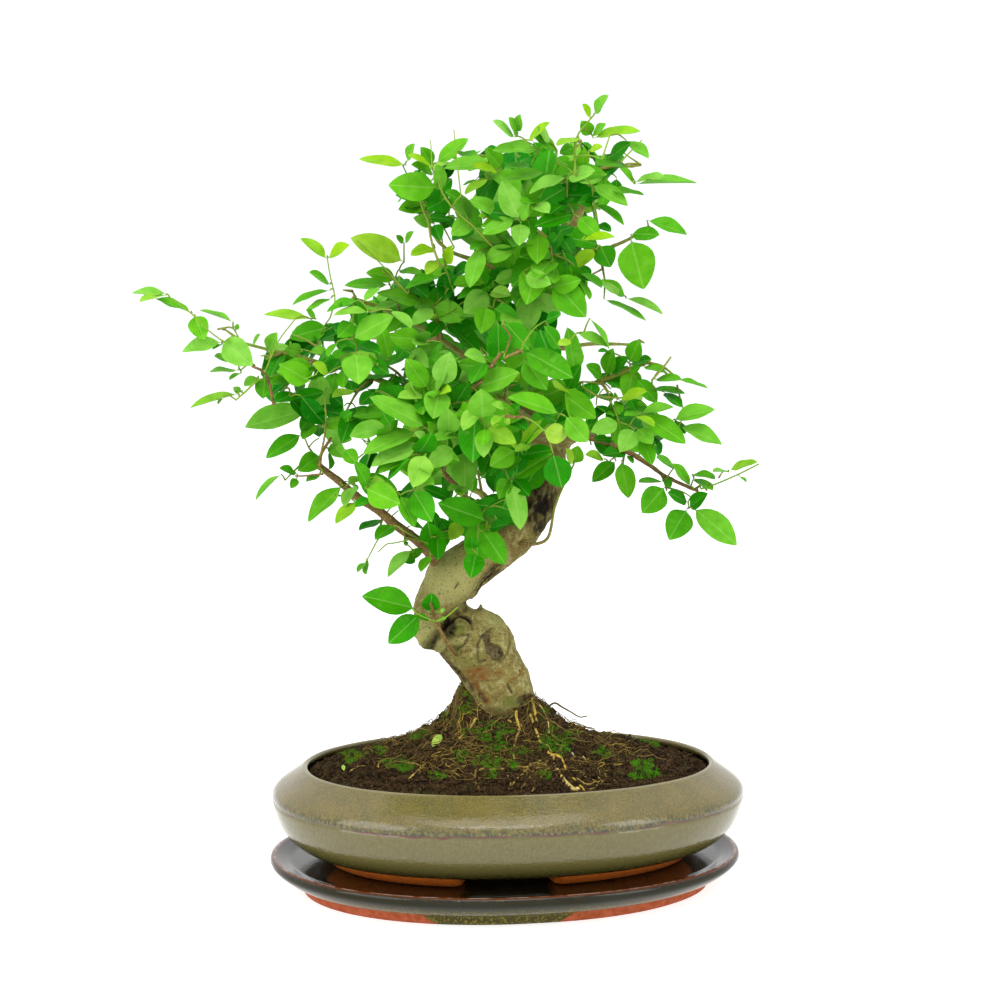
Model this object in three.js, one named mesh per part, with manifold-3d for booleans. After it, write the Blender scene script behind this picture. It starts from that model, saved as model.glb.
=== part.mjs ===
// Chinese privet bonsai: an S-shaped tree in an oval glazed pot, standing on its oval saucer.
// Millimetres, +Z up. The origin is the centre of the saucer's underside, +X runs along the pot
// to the right of its front view, and -Y points to the viewer.
import * as THREE from "three";
import { mergeVertices } from "three/addons/utils/BufferGeometryUtils.js";
import Module from "manifold-3d";

const wasm = await Module();
wasm.setup();

// Driving dimensions
const POT_LENGTH = 300;
const POT_WIDTH = 238;
const LIP_HEIGHT = 77;
const LIP_INSET = 21.5;
const WALL = 6;
const POT_FLOOR = 25;
const FOOT_HEIGHT = 7.2;
const HOLE_RADIUS = 9;
const HOLE_OFFSET = 62;
const SAUCER_LENGTH = 300;
const SAUCER_HEIGHT = 21;
const SAUCER_FLOOR = 17.5;
const SAUCER_BASE_INSET = 20;
const SCREEN_SIDE = 28;
const SCREEN_THICKNESS = 1.2;
const LEAF_LENGTH = 30;
const LEAF_WIDTH = 16.5;
const LEAF_THICKNESS = 1.1;
const LEAF_SPACING = 17; // between the pairs along a twig
const LEAF_TILT = 0.7; // how far the leaves face outwards, where 1 is as much as upwards
const TWIG_RADIUS = 1.1;
const TWIG_BARE = 0.4; // share of a twig that has no leaves
const TWIG_FORK = 0.3; // where a second twig leaves the first
const GAP = 0.3; // between pieces that touch
const CLEARANCE = 0.5; // between a leaf and its neighbours
const OVAL_POWER = 2.12; // of the superellipse, where 2 is an ellipse
const OVAL_SEGMENTS = 36;

// The front view: a camera that stands EYE_DISTANCE from the trunk, turned by EYE_AZIMUTH to the
// pot's left and raised by EYE_ELEVATION, with the picture's middle at EYE_HEIGHT. Places on the
// tree are read in that view, as pixels across and down and millimetres behind the trunk's plane.
const EYE_DISTANCE = 1250;
const EYE_AZIMUTH = THREE.MathUtils.degToRad(-10);
const EYE_ELEVATION = THREE.MathUtils.degToRad(4.5);
const EYE_HEIGHT = 243;
const EYE_FOCUS = 1985;
const PICTURE_MIDDLE = [509, 500];

const EYE_BACK = new THREE.Vector3(
  Math.sin(EYE_AZIMUTH) * Math.cos(EYE_ELEVATION),
  -Math.cos(EYE_AZIMUTH) * Math.cos(EYE_ELEVATION),
  Math.sin(EYE_ELEVATION),
);
const EYE_RIGHT = new THREE.Vector3(Math.cos(EYE_AZIMUTH), Math.sin(EYE_AZIMUTH), 0);
const EYE_UP = new THREE.Vector3().crossVectors(EYE_BACK, EYE_RIGHT);

// The point that the picture shows at (across, down), `behind` millimetres behind the trunk's plane
function seen([across, down, behind = 0]) {
  const reach = EYE_DISTANCE + behind;
  return new THREE.Vector3(0, 0, EYE_HEIGHT)
    .addScaledVector(EYE_BACK, -behind)
    .addScaledVector(EYE_RIGHT, ((across - PICTURE_MIDDLE[0]) / EYE_FOCUS) * reach)
    .addScaledVector(EYE_UP, ((PICTURE_MIDDLE[1] - down) / EYE_FOCUS) * reach);
}

// Wooden limbs: radius at the foot and at the end, and the way through the picture
const LIMBS = {
  trunk_low: {
    radius: [25, 24, 21.5, 20.5, 20.2, 20, 18.5],
    way: [
      [499, 775, 2], [500, 745, 2], [502, 715, 2], [499, 688, 1], [486, 661, 0], [467, 638, -2],
      [449, 621, -3],
    ],
  },
  trunk_high: {
    radius: [15, 16.4, 16, 15.2, 13.6, 12.2, 11.2, 10.4, 9.2, 8.4, 7.8, 7.2, 6.8, 6.2, 5.7, 5.1, 4.5,
      3.9, 3.3, 2.7, 2.1, 1.6],
    way: [
      [446, 622, -3], [438, 606, -4], [443, 588, -4], [456, 575, -3], [476, 561, -1], [497, 548, 1],
      [517, 533, 3], [535, 512, 5], [546, 488, 7], [552, 465, 8], [548, 440, 8], [526, 405, 5],
      [519, 380, 3], [526, 352, 1], [542, 325, 0], [557, 297, -1], [566, 268, -2], [569, 240, -2],
      [578, 215, -1], [586, 192, 0], [581, 165, 0], [577, 145, 0],
    ],
  },
  low_left: {
    radius: [3.8, 1.9],
    way: [[447, 585, -4], [427, 550, -14], [391, 521, -22], [355, 494, -30], [311, 460, -36]],
  },
  low_middle: {
    radius: [2.8, 1.4],
    way: [[484, 552, -2], [474, 520, -16], [466, 498, -26], [444, 473, -36]],
  },
  low_back: {
    radius: [3.2, 1.4],
    way: [[517, 533, 4], [500, 510, 34], [475, 490, 60], [450, 478, 84]],
  },
  left: {
    radius: [5, 1.4],
    way: [
      [543, 440, 6], [500, 428, -6], [450, 408, -20], [400, 388, -30], [340, 368, -36],
      [280, 352, -38], [238, 342, -36],
    ],
  },
  upper_left: {
    radius: [4, 1.4],
    way: [[526, 405, 5], [485, 372, 10], [440, 338, 14], [392, 312, 14], [352, 298, 12]],
  },
  front: {
    radius: [4, 1.6],
    way: [[545, 436, 2], [528, 420, -30], [505, 404, -58], [478, 398, -84]],
  },
  front_left: {
    radius: [3, 1.3],
    way: [[450, 408, -20], [428, 425, -52], [398, 440, -78]],
  },
  back: {
    radius: [4, 1.6],
    way: [[526, 405, 8], [510, 385, 36], [490, 368, 64], [468, 352, 92]],
  },
  back_left: {
    radius: [2.8, 1.2],
    way: [[440, 338, 14], [405, 335, 46], [365, 338, 76]],
  },
  low_right: {
    radius: [4, 1.6],
    way: [
      [552, 452, 8], [576, 436, 14], [600, 440, 18], [630, 453, 18], [667, 477, 12],
      [698, 491, 8],
    ],
  },
  right: {
    radius: [3.6, 1.4],
    way: [[534, 418, 4], [560, 403, -6], [586, 387, -16], [618, 374, -24], [650, 361, -30]],
  },
  right_back: {
    radius: [3.2, 1.3],
    way: [[526, 352, 2], [560, 348, 20], [600, 344, 38], [640, 345, 50]],
  },
  back_right: {
    radius: [3.2, 1.3],
    way: [[552, 456, 10], [585, 432, 44], [620, 415, 72]],
  },
  top_left: {
    radius: [3, 1.2],
    way: [[557, 297, -1], [520, 282, -6], [480, 262, -12], [443, 246, -16], [424, 216, -16]],
  },
  top_right: {
    radius: [2.6, 1.1],
    way: [[566, 268, -2], [596, 254, -10], [625, 240, -14], [648, 228, -16]],
  },
  top_front: {
    radius: [2.6, 1.2],
    way: [[567, 258, -4], [548, 240, -32], [528, 224, -58]],
  },
  top_back: {
    radius: [2.6, 1.2],
    way: [[570, 236, 0], [562, 222, 30], [548, 208, 58]],
  },
  crown_left: {
    radius: [2, 1],
    way: [[586, 192, 0], [560, 178, -6], [534, 162, -10], [512, 148, -12]],
  },
  crown_right: {
    radius: [1.8, 1],
    way: [[583, 176, 0], [606, 168, -8], [634, 166, -12]],
  },
};

// The soil's surface from the pot's lip up to the trunk, as [half length, height], and how far the
// mound's top lies to the left of the pot's middle
const MOUND = [
  [126.6, 72], [114, 75.5], [96, 80], [74, 87], [54, 96], [38, 107], [29, 115], [20, 119],
  [0, 119.5],
];
const MOUND_SHIFT = 9;

// Surface roots that run down the mound: heading in degrees from +X towards the back, how far out
// they reach, and the radius at each end
const ROOTS = [
  [-73, 90, 6, 1.8], [-94, 70, 4.5, 1.5], [-128, 74, 5, 1.5], [-160, 66, 5, 1.5],
  [-24, 76, 5, 1.6], [32, 64, 4.5, 1.5], [80, 60, 4.5, 1.5], [135, 64, 4.5, 1.5],
];

// Leafy sprays: the limb that each grows on, how far along it from 0 to 1, and where the last
// leaves of its twigs end in the picture. A second twig forks off the first.
const SPRAYS = {
  low_left_end: ["low_left", 0.97, [[296, 418, -44], [268, 488, -40]]],
  low_left_side: ["low_left", 0.78, [[318, 512, -58], [345, 452, -16]]],
  low_left_hanging: ["low_left", 0.52, [[370, 556, -10]]],
  low_left_under: ["low_left", 0.38, [[402, 572, -34]]],
  low_left_inner: ["low_left", 0.28, [[452, 530, -48]]],
  low_middle_end: ["low_middle", 0.98, [[416, 448, -50], [462, 446, -62]]],
  low_middle_side: ["low_middle", 0.6, [[512, 512, -50]]],
  low_back_end: ["low_back", 0.97, [[408, 470, 104]]],
  low_back_side: ["low_back", 0.6, [[470, 446, 92]]],
  left_end: ["left", 0.98, [[141, 293, -44], [190, 345, -58]]],
  left_drooping: ["left", 0.86, [[205, 402, -50]]],
  left_under: ["left", 0.76, [[256, 420, -66]]],
  left_over: ["left", 0.7, [[272, 318, -12]]],
  left_front: ["left", 0.58, [[330, 432, -78]]],
  left_middle: ["left", 0.45, [[362, 345, -66]]],
  left_foot: ["left", 0.22, [[470, 380, -62]]],
  upper_left_end: ["upper_left", 0.98, [[326, 246, 10], [292, 303, 0]]],
  upper_left_side: ["upper_left", 0.75, [[376, 244, 12]]],
  upper_left_middle: ["upper_left", 0.52, [[424, 286, -24]]],
  front_left_end: ["front_left", 0.97, [[362, 462, -100]]],
  front_left_side: ["front_left", 0.6, [[410, 382, -90]]],
  front_end: ["front", 0.97, [[436, 424, -108]]],
  front_over: ["front", 0.7, [[515, 356, -92]]],
  front_under: ["front", 0.55, [[530, 462, -78]]],
  back_end: ["back", 0.97, [[425, 330, 112]]],
  back_over: ["back", 0.68, [[515, 318, 92]]],
  back_under: ["back", 0.5, [[440, 402, 74]]],
  back_left_end: ["back_left", 0.97, [[318, 335, 98]]],
  back_left_over: ["back_left", 0.6, [[380, 285, 72]]],
  low_right_end: ["low_right", 0.98, [[750, 464, 2], [730, 536, -8]]],
  low_right_hanging: ["low_right", 0.76, [[676, 528, 0]]],
  low_right_side: ["low_right", 0.5, [[618, 494, 30]]],
  right_end: ["right", 0.97, [[706, 392, -40], [714, 438, -36]]],
  right_side: ["right", 0.6, [[622, 424, -58]]],
  right_back_end: ["right_back", 0.97, [[664, 314, 62], [672, 372, 72]]],
  back_right_end: ["back_right", 0.97, [[668, 408, 88]]],
  back_right_side: ["back_right", 0.55, [[600, 480, 66]]],
  top_left_end: ["top_left", 0.98, [[386, 160, -18], [398, 222, -30]]],
  top_left_side: ["top_left", 0.55, [[462, 196, -44]]],
  top_left_under: ["top_left", 0.35, [[486, 326, -52]]],
  top_right_end: ["top_right", 0.97, [[684, 228, -20], [640, 282, -38]]],
  top_right_under: ["top_right", 0.4, [[612, 310, -26]]],
  top_front_end: ["top_front", 0.97, [[506, 200, -82]]],
  top_front_under: ["top_front", 0.5, [[556, 292, -74]]],
  top_back_end: ["top_back", 0.97, [[526, 186, 84], [592, 196, 64]]],
  crown_left_end: ["crown_left", 0.97, [[506, 120, -14], [462, 168, -26]]],
  crown_right_end: ["crown_right", 0.95, [[692, 180, -14], [640, 132, -20]]],
  leader: ["trunk_high", 0.992, [[603, 98, 0], [552, 132, 10]]],
};

// Shoots that grow straight from the trunk: how much of the stem is bare, and its way
const SHOOTS = {
  whip_shoot: {
    bare: 0.93,
    way: [
      [519, 543, -8], [535, 544, -10], [547, 539, -10], [555, 506, -10], [562, 489, -10],
      [574, 464, -10],
    ],
  },
  trunk_sprout: {
    bare: 0.8,
    way: [[462, 658, -6], [446, 638, -22], [437, 620, -28], [424, 609, -30]],
  },
};

// Knots that thicken the trunk at its bend, as a place and three half axes
const KNOTS = [
  { at: [477, 636, -3], half: [15, 15, 18] },
  { at: [450, 628, -6], half: [16, 16, 15] },
  { at: [438, 608, -4], half: [15, 15, 16] },
];

// Cushions of moss on the soil, as a place and three half axes
const MOSS_CUSHIONS = {
  moss_left: { at: [425, 742, -30], half: [17, 12, 5] },
  moss_right: { at: [590, 748, -16], half: [20, 13, 5] },
  moss_edge: { at: [640, 770, -34], half: [17, 10, 4] },
};

// Materials
const finish = (color, roughness) =>
  new THREE.MeshStandardMaterial({ color, roughness, metalness: 0 });
const POT_GLAZE = finish(0x7d7b52, 0.2);
const SAUCER_GLAZE = finish(0x4a4b42, 0.2);
const PEAT = finish(0x3a2417, 0.95);
const BARK = finish(0x9a9468, 0.8);
const LEAF = finish(0x4f9e22, 0.45);
const MOSS = finish(0x4c6f1d, 0.95);
const SCREEN = finish(0x22262a, 0.6);

// A solid from a closed geometry
function solid(geometry) {
  const bare = geometry.index ? geometry : geometry.clone();
  bare.deleteAttribute("normal");
  bare.deleteAttribute("uv");
  const merged = mergeVertices(bare, 1e-5);
  return new wasm.Manifold(new wasm.Mesh({
    numProp: 3,
    vertProperties: new Float32Array(merged.attributes.position.array),
    triVerts: new Uint32Array(merged.index.array),
  }));
}

// The mesh of a solid, under its name and with its material
function mesh(name, body, material) {
  const { vertProperties, triVerts } = body.getMesh();
  const geometry = new THREE.BufferGeometry();
  geometry.setAttribute("position", new THREE.BufferAttribute(vertProperties, 3));
  geometry.setIndex(new THREE.BufferAttribute(triVerts, 1));
  geometry.computeVertexNormals();
  const made = new THREE.Mesh(geometry, material);
  made.name = name;
  return made;
}

// The largest connected piece of a solid
const largest = (body) => body.decompose().sort((a, b) => b.volume() - a.volume())[0];

// Half width of the oval whose half length is `reach`: the ovals keep one inset from each other
// all round, down to FLOOR_REACH, and shrink to the centre in one proportion inside it.
const FLOOR_REACH = 90;
const SOIL_REACH = 108;
const SLENDERNESS = (POT_LENGTH - POT_WIDTH) / 2;
const halfWidth = (reach) =>
  reach > FLOOR_REACH ? reach - SLENDERNESS : (reach * (FLOOR_REACH - SLENDERNESS)) / FLOOR_REACH;

// Half width of the soil's ovals: they turn from the pot's oval into circles round the trunk
const soilWidth = (reach) => reach - SLENDERNESS * Math.min(1, reach / SOIL_REACH) ** 2;

// The point of a superellipse, with half axes `reach` and `width`, that lies towards `angle`
function onOval(angle, reach, width) {
  const [across, away] = [Math.cos(angle), Math.sin(angle)];
  const bulge = (Math.abs(across) ** OVAL_POWER + Math.abs(away) ** OVAL_POWER) ** (-1 / OVAL_POWER);
  return [reach * across * bulge, width * away * bulge];
}

// An oval turned piece: a profile of [half length, height] carried round the superellipse
function oval(profile, widthOf = halfWidth, shiftOf = () => 0) {
  const points = profile.map(([reach, height]) => new THREE.Vector2(reach, height));
  const geometry = new THREE.LatheGeometry(points, OVAL_SEGMENTS);
  const position = geometry.attributes.position;
  for (let i = 0; i < position.count; i += 1) {
    const reach = Math.hypot(position.getX(i), position.getZ(i));
    const height = position.getY(i);
    const angle = -Math.atan2(position.getZ(i), position.getX(i));
    const [x, y] = onOval(angle, reach, widthOf(reach));
    position.setXYZ(i, x + shiftOf(reach, height), y, height);
  }
  return solid(geometry);
}

// How far the soil's surface is moved towards the mound's top, none at the lip or below it
function moundShift(reach, height) {
  const [edge, low] = MOUND[0];
  return height > low ? -MOUND_SHIFT * (1 - reach / edge) : 0;
}

// The place on the mound that lies towards `angle` at `reach`, `lift` above its surface
function onMound(angle, reach, lift) {
  const outer = MOUND.findLast(([edge]) => edge >= reach);
  const inner = MOUND[MOUND.indexOf(outer) + 1];
  const height = THREE.MathUtils.mapLinear(reach, inner[0], outer[0], inner[1], outer[1]);
  const [x, y] = onOval(angle, reach, soilWidth(reach));
  return new THREE.Vector3(x + moundShift(reach, height), y, height + lift);
}

// A box between two corners
function block(low, high) {
  const size = high.map((value, axis) => value - low[axis]);
  const geometry = new THREE.BoxGeometry(...size);
  geometry.translate(...low.map((value, axis) => value + size[axis] / 2));
  return solid(geometry);
}

// An upright cylinder
function post(x, y, low, high, radius) {
  const geometry = new THREE.CylinderGeometry(radius, radius, high - low, 16);
  geometry.rotateX(Math.PI / 2);
  geometry.translate(x, y, (low + high) / 2);
  return solid(geometry);
}

// A rounded lump, as an icosphere of three half axes
function lump(centre, halfAxes, detail) {
  const geometry = new THREE.IcosahedronGeometry(1, detail);
  geometry.scale(...halfAxes);
  geometry.translate(centre.x, centre.y, centre.z);
  return solid(geometry);
}

// A round limb along smooth points, with a radius for each point or for its two ends
function limb(points, radius, sides, rings, grow = 0) {
  const curve = new THREE.CatmullRomCurve3(points, false, "centripetal");
  const frames = curve.computeFrenetFrames(rings, false);
  const positions = [];
  const faces = [];
  for (let ring = 0; ring <= rings; ring += 1) {
    const share = ring / rings;
    const place = curve.getUtoTmapping(share) * (radius.length - 1);
    const before = Math.min(Math.floor(place), radius.length - 2);
    const thick = THREE.MathUtils.lerp(radius[before], radius[before + 1], place - before) + grow;
    const centre = curve.getPointAt(share);
    for (let side = 0; side < sides; side += 1) {
      const turn = (side / sides) * 2 * Math.PI;
      const point = centre.clone()
        .addScaledVector(frames.normals[ring], Math.cos(turn) * thick)
        .addScaledVector(frames.binormals[ring], Math.sin(turn) * thick);
      positions.push(...point.toArray());
      if (ring === rings) continue;
      const next = (side + 1) % sides;
      const [a, b] = [ring * sides + side, ring * sides + next];
      faces.push(a, b, b + sides, a, b + sides, a + sides);
    }
  }
  const last = rings * sides;
  for (let side = 1; side < sides - 1; side += 1) {
    faces.push(0, side + 1, side, last, last + side, last + side + 1);
  }
  const geometry = new THREE.BufferGeometry();
  geometry.setAttribute("position", new THREE.Float32BufferAttribute(positions, 3));
  geometry.setIndex(faces);
  return solid(geometry);
}

// A pointed oval leaf: six points round its edge, and a ridge above and a keel below its middle
function leaf(base, direction, up, length, width) {
  const along = direction.clone().normalize();
  const side = new THREE.Vector3().crossVectors(up, along).normalize();
  const face = new THREE.Vector3().crossVectors(along, side);
  const place = (far, out, high) => base.clone()
    .addScaledVector(along, far * length)
    .addScaledVector(side, (out * width) / 2)
    .addScaledVector(face, high);
  const points = [
    place(0, 0, 0), place(0.3, 0.86, 0.8), place(0.62, 0.88, 0.8), place(1, 0, -1.5),
    place(0.62, -0.88, 0.8), place(0.3, -0.86, 0.8),
    place(0.45, 0, LEAF_THICKNESS / 2), place(0.45, 0, -LEAF_THICKNESS),
  ];
  const faces = [];
  for (let i = 0; i < 6; i += 1) {
    const next = (i + 1) % 6;
    faces.push(6, next, i, 7, i, next);
  }
  const geometry = new THREE.BufferGeometry();
  geometry.setAttribute(
    "position",
    new THREE.Float32BufferAttribute(points.flatMap((point) => point.toArray()), 3),
  );
  geometry.setIndex(faces);
  return solid(geometry);
}

// Saucer: a shallow oval dish with a flared wall, a foot all round and a pad under its middle
function makeSaucer() {
  const rim = SAUCER_LENGTH / 2;
  const base = rim - SAUCER_BASE_INSET;
  const hollow = 9;
  return oval([
    [0, 0], [26, 0], [30, hollow], [base - 12, hollow], [base - 8, 0], [base, 0],
    [base + 9, 6], [rim - 3.5, 12.5], [rim, 17.5], [rim - 0.8, 20], [rim - 3, SAUCER_HEIGHT],
    [rim - 6, 20.2], [rim - 13, SAUCER_FLOOR + 0.2], [rim - 20, SAUCER_FLOOR], [0, SAUCER_FLOOR],
  ]);
}

// Pot: an oval bowl with a rolled shoulder that turns in to the lip, a groove round its widest
// line, four long feet and two drain holes
function makePot() {
  const wide = POT_LENGTH / 2;
  const lip = wide - LIP_INSET;
  const outer = [
    [0, POT_FLOOR], [112, POT_FLOOR], [122, 26.8], [133, 32.5], [141, 40], [146.4, 48.5],
    [148.8, 55.5], [150, 58], [149.2, 64.5], [146, 69.4], [141, 73.3], [135, 76],
    [lip + 1, LIP_HEIGHT],
  ];
  const inner = [
    [lip - 1, LIP_HEIGHT - 1.5], [lip - 1, 74], [lip + 7, 70.5], [wide - WALL - 2, 64],
    [wide - WALL - 1.5, 53], [136, 43.5], [123, 34], [112, POT_FLOOR + WALL], [0, POT_FLOOR + WALL],
  ];
  let pot = oval([...outer, ...inner]);
  const foot = POT_FLOOR - FOOT_HEIGHT;
  const ring = oval([
    [97, foot], [114, foot], [116, POT_FLOOR - 1], [120, POT_FLOOR + 2.5], [97, POT_FLOOR + 2.5],
    [97, foot],
  ]);
  const frontGap = 27;
  const endGap = 30;
  const feet = ring
    .subtract(block([-frontGap, -200, 0], [frontGap, 200, POT_FLOOR]))
    .subtract(block([-200, -endGap, 0], [200, endGap, POT_FLOOR]));
  pot = pot.add(feet);
  for (const x of [-HOLE_OFFSET, HOLE_OFFSET]) {
    pot = pot.subtract(post(x, 0, POT_FLOOR - 2, POT_FLOOR + WALL + 2, HOLE_RADIUS));
  }
  return pot;
}

// Drain screen: a square of plastic mesh that lies on the pot's floor over a drain hole
function makeScreen(x) {
  const half = SCREEN_SIDE / 2;
  const low = POT_FLOOR + WALL + GAP;
  const high = low + SCREEN_THICKNESS;
  const pitch = 7.5;
  const opening = 2.6;
  let screen = block([x - half, -half, low], [x + half, half, high]);
  for (const column of [-1, 0, 1]) {
    for (const row of [-1, 0, 1]) {
      const [cx, cy] = [x + column * pitch, row * pitch];
      screen = screen.subtract(block(
        [cx - opening, cy - opening, low - 1],
        [cx + opening, cy + opening, high + 1],
      ));
    }
  }
  return screen;
}

// Soil: it fills the pot GAP clear of the wall and rises in a mound to the trunk
function makeSoil(raise = 0) {
  const wide = POT_LENGTH / 2 - WALL - GAP;
  const floor = POT_FLOOR + WALL + GAP;
  return oval([
    [0, floor], [111.6, floor], [122.4, 34.3], [135.4, 43.8], [wide - 1.8, 53.1],
    [wide - 2.4, 63.9], [wide - 10, 69.8], [126.6, 70.6],
    ...MOUND.map(([reach, height]) => [reach, height + raise]),
  ], soilWidth, moundShift);
}

// The wood, grown by `grow` all round: trunk, limbs and surface roots in one piece
function makeWood(grow = 0) {
  const parts = Object.values(LIMBS).map(({ radius, way }) => {
    const thick = Math.max(...radius) > 8;
    const rings = thick ? way.length : Math.round(way.length * 1.4);
    return limb(way.map(seen), radius, thick ? 10 : 5, rings, grow);
  });
  for (const [heading, reach, thick, thin] of ROOTS) {
    const angle = THREE.MathUtils.degToRad(heading);
    const way = [
      onMound(angle, 12, -8), onMound(angle, 26, -2), onMound(angle, (26 + reach) / 2, 1),
      onMound(angle, reach, -1.5),
    ];
    parts.push(limb(way, [thick, thin], 5, 4, grow));
  }
  for (const { at, half } of KNOTS) parts.push(lump(seen(at), half.map((axis) => axis + grow), 1));
  return wasm.Manifold.union(parts);
}

// Moss: a low cushion that lies on the soil, cut to its surface and clear of the wood
function makeMoss({ at, half }, soil, wood) {
  return largest(lump(seen(at), half, 2).subtract(soil).subtract(wood));
}

const nearBox = (a, b, margin) => [0, 1, 2].every((axis) =>
  a.min[axis] - margin < b.max[axis] && b.min[axis] - margin < a.max[axis]);

// The pieces placed so far, which a new leaf keeps clear of
const placed = [];
const place = (body) => placed.push({ body, box: body.boundingBox() });
const isClear = (body) => {
  const box = body.boundingBox();
  return placed.every((other) =>
    !nearBox(box, other.box, 1) || other.body.minGap(body, 1) > CLEARANCE);
};

// The leaves of a twig: opposite pairs, of which every other one is turned, and one at the tip
function leavesAlong(curve, bare) {
  const length = curve.getLength();
  const pairs = Math.max(1, Math.round((length * (1 - bare)) / LEAF_SPACING));
  const [forward, droop, turned, level] = [0.55, 0.12, 0.55, 0.1];
  const tipSize = 0.8;
  const grown = [];
  const middle = curve.getPointAt(0.5);
  const up = new THREE.Vector3(middle.x, middle.y, 0).normalize();
  up.multiplyScalar(LEAF_TILT).add(new THREE.Vector3(0, 0, 1)).normalize();
  for (let pair = 0; pair <= pairs; pair += 1) {
    const share = THREE.MathUtils.lerp(bare, 1, (0.98 * pair) / pairs);
    const point = curve.getPointAt(share);
    const ahead = curve.getTangentAt(share);
    const side = new THREE.Vector3().crossVectors(ahead, up).normalize();
    if (pair === pairs) {
      grown.push(leaf(point, ahead, up, LEAF_LENGTH * tipSize, LEAF_WIDTH * tipSize));
      continue;
    }
    for (const hand of [-1, 1]) {
      const direction = ahead.clone().multiplyScalar(forward)
        .addScaledVector(side, hand)
        .addScaledVector(up, hand * (pair % 2 ? turned : level) - droop);
      grown.push(leaf(point, direction, up, LEAF_LENGTH, LEAF_WIDTH));
    }
  }
  return grown;
}

// The way of a twig from its foot, in a low arch, to just short of its last leaf's tip
function twigWay(foot, tip) {
  const end = seen(tip);
  end.lerp(foot, (0.7 * LEAF_LENGTH) / end.distanceTo(foot));
  const middle = foot.clone().lerp(end, 0.5);
  middle.z += foot.distanceTo(end) * 0.06;
  return [middle, end];
}

// A spray: a twig from a place on a limb, with any others that fork off it, and their leaves, cut
// GAP clear of the wood
function makeSpray(start, ways, bare, wood) {
  const twigs = [];
  for (const way of ways) {
    const foot = twigs.length ? twigs[0].getPointAt(TWIG_FORK) : start;
    twigs.push(new THREE.CatmullRomCurve3([foot, ...way], false, "centripetal"));
  }
  const stems = twigs.map((curve) =>
    limb(curve.points, [TWIG_RADIUS, TWIG_RADIUS * 0.7], 4, curve.points.length));
  let spray = largest(wasm.Manifold.union(stems).subtract(wood));
  for (const curve of twigs) {
    for (const blade of leavesAlong(curve, bare)) {
      if (isClear(blade)) spray = spray.add(blade);
    }
  }
  return largest(spray);
}

const bonsai = new THREE.Group();
const add = (name, body, material) => {
  bonsai.add(mesh(name, body, material));
  place(body);
};

const wood = makeWood();
const woodClear = makeWood(GAP);
const screens = [-HOLE_OFFSET, HOLE_OFFSET];
let soil = makeSoil().subtract(woodClear);
for (const x of screens) {
  const half = SCREEN_SIDE / 2 + GAP;
  const low = POT_FLOOR + WALL;
  const high = low + SCREEN_THICKNESS + 2 * GAP;
  soil = soil.subtract(block([x - half, -half, low], [x + half, half, high]));
}

add("saucer", makeSaucer(), SAUCER_GLAZE);
add("pot", makePot(), POT_GLAZE);
add("drain_screen_left", makeScreen(screens[0]), SCREEN);
add("drain_screen_right", makeScreen(screens[1]), SCREEN);
add("soil", largest(soil), PEAT);
add("trunk", wood, BARK);

const soilClear = makeSoil(GAP);
for (const [name, cushion] of Object.entries(MOSS_CUSHIONS)) {
  add(name, makeMoss(cushion, soilClear, woodClear), MOSS);
}

for (const [name, [limbName, share, tips]] of Object.entries(SPRAYS)) {
  const way = new THREE.CatmullRomCurve3(LIMBS[limbName].way.map(seen), false, "centripetal");
  const start = way.getPointAt(share);
  const ways = tips.map((tip) => twigWay(start, tip));
  add(`spray_${name}`, makeSpray(start, ways, TWIG_BARE, woodClear), LEAF);
}
for (const [name, { bare, way }] of Object.entries(SHOOTS)) {
  const [foot, ...rest] = way.map(seen);
  add(name, makeSpray(foot, [rest], bare, woodClear), LEAF);
}

export default bonsai;
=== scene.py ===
from itertools import product

import bpy
import numpy as np
from mathutils import Matrix


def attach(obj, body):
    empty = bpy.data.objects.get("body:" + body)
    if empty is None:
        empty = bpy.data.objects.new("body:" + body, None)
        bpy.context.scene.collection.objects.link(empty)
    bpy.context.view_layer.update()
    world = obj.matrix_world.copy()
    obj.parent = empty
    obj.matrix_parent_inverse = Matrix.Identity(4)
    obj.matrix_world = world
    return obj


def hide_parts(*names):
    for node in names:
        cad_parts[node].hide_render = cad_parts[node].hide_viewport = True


# Chinese privet bonsai in its oval pot, on its saucer. Shapes are worked out in millimetres, in the
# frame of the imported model, and make_piece turns them to metres.

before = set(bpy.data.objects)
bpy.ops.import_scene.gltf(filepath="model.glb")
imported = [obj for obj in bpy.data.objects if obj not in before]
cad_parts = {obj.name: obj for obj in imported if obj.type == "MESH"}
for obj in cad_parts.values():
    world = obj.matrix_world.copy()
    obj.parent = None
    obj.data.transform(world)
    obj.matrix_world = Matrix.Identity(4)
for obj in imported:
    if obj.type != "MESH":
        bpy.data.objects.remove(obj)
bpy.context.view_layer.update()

MM = 0.001

# Driving dimensions in millimetres
POT_LENGTH = 300
POT_WIDTH = 238
POT_FLOOR = 25
WALL = 6
HOLE_RADIUS = 9
HOLE_OFFSET = 62
FOOT_HEIGHT = 7.2
FRONT_GAP = 26
FEET_SHIFT = 13.5
END_SHIFT = 16
SAUCER_SHIFT = 2
SAUCER_SHRINK = 0.995
END_GAP = 30
OVAL_POWER = 2.12
FLOOR_REACH = 90
SOIL_REACH = 108
SLENDERNESS = (POT_LENGTH - POT_WIDTH) / 2
TWIG_FORK = 0.3
CRUMBS = 5600
MOSS_PLACES = 60000
ROOTLETS = 1100
MOUND = [
    (126.6, 72), (114, 75.5), (96, 79.5), (74, 85), (54, 93), (38, 102.5), (29, 111.5), (20, 118),
    (0, 119.5),
]
MOUND_SHIFT = 9

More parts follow.
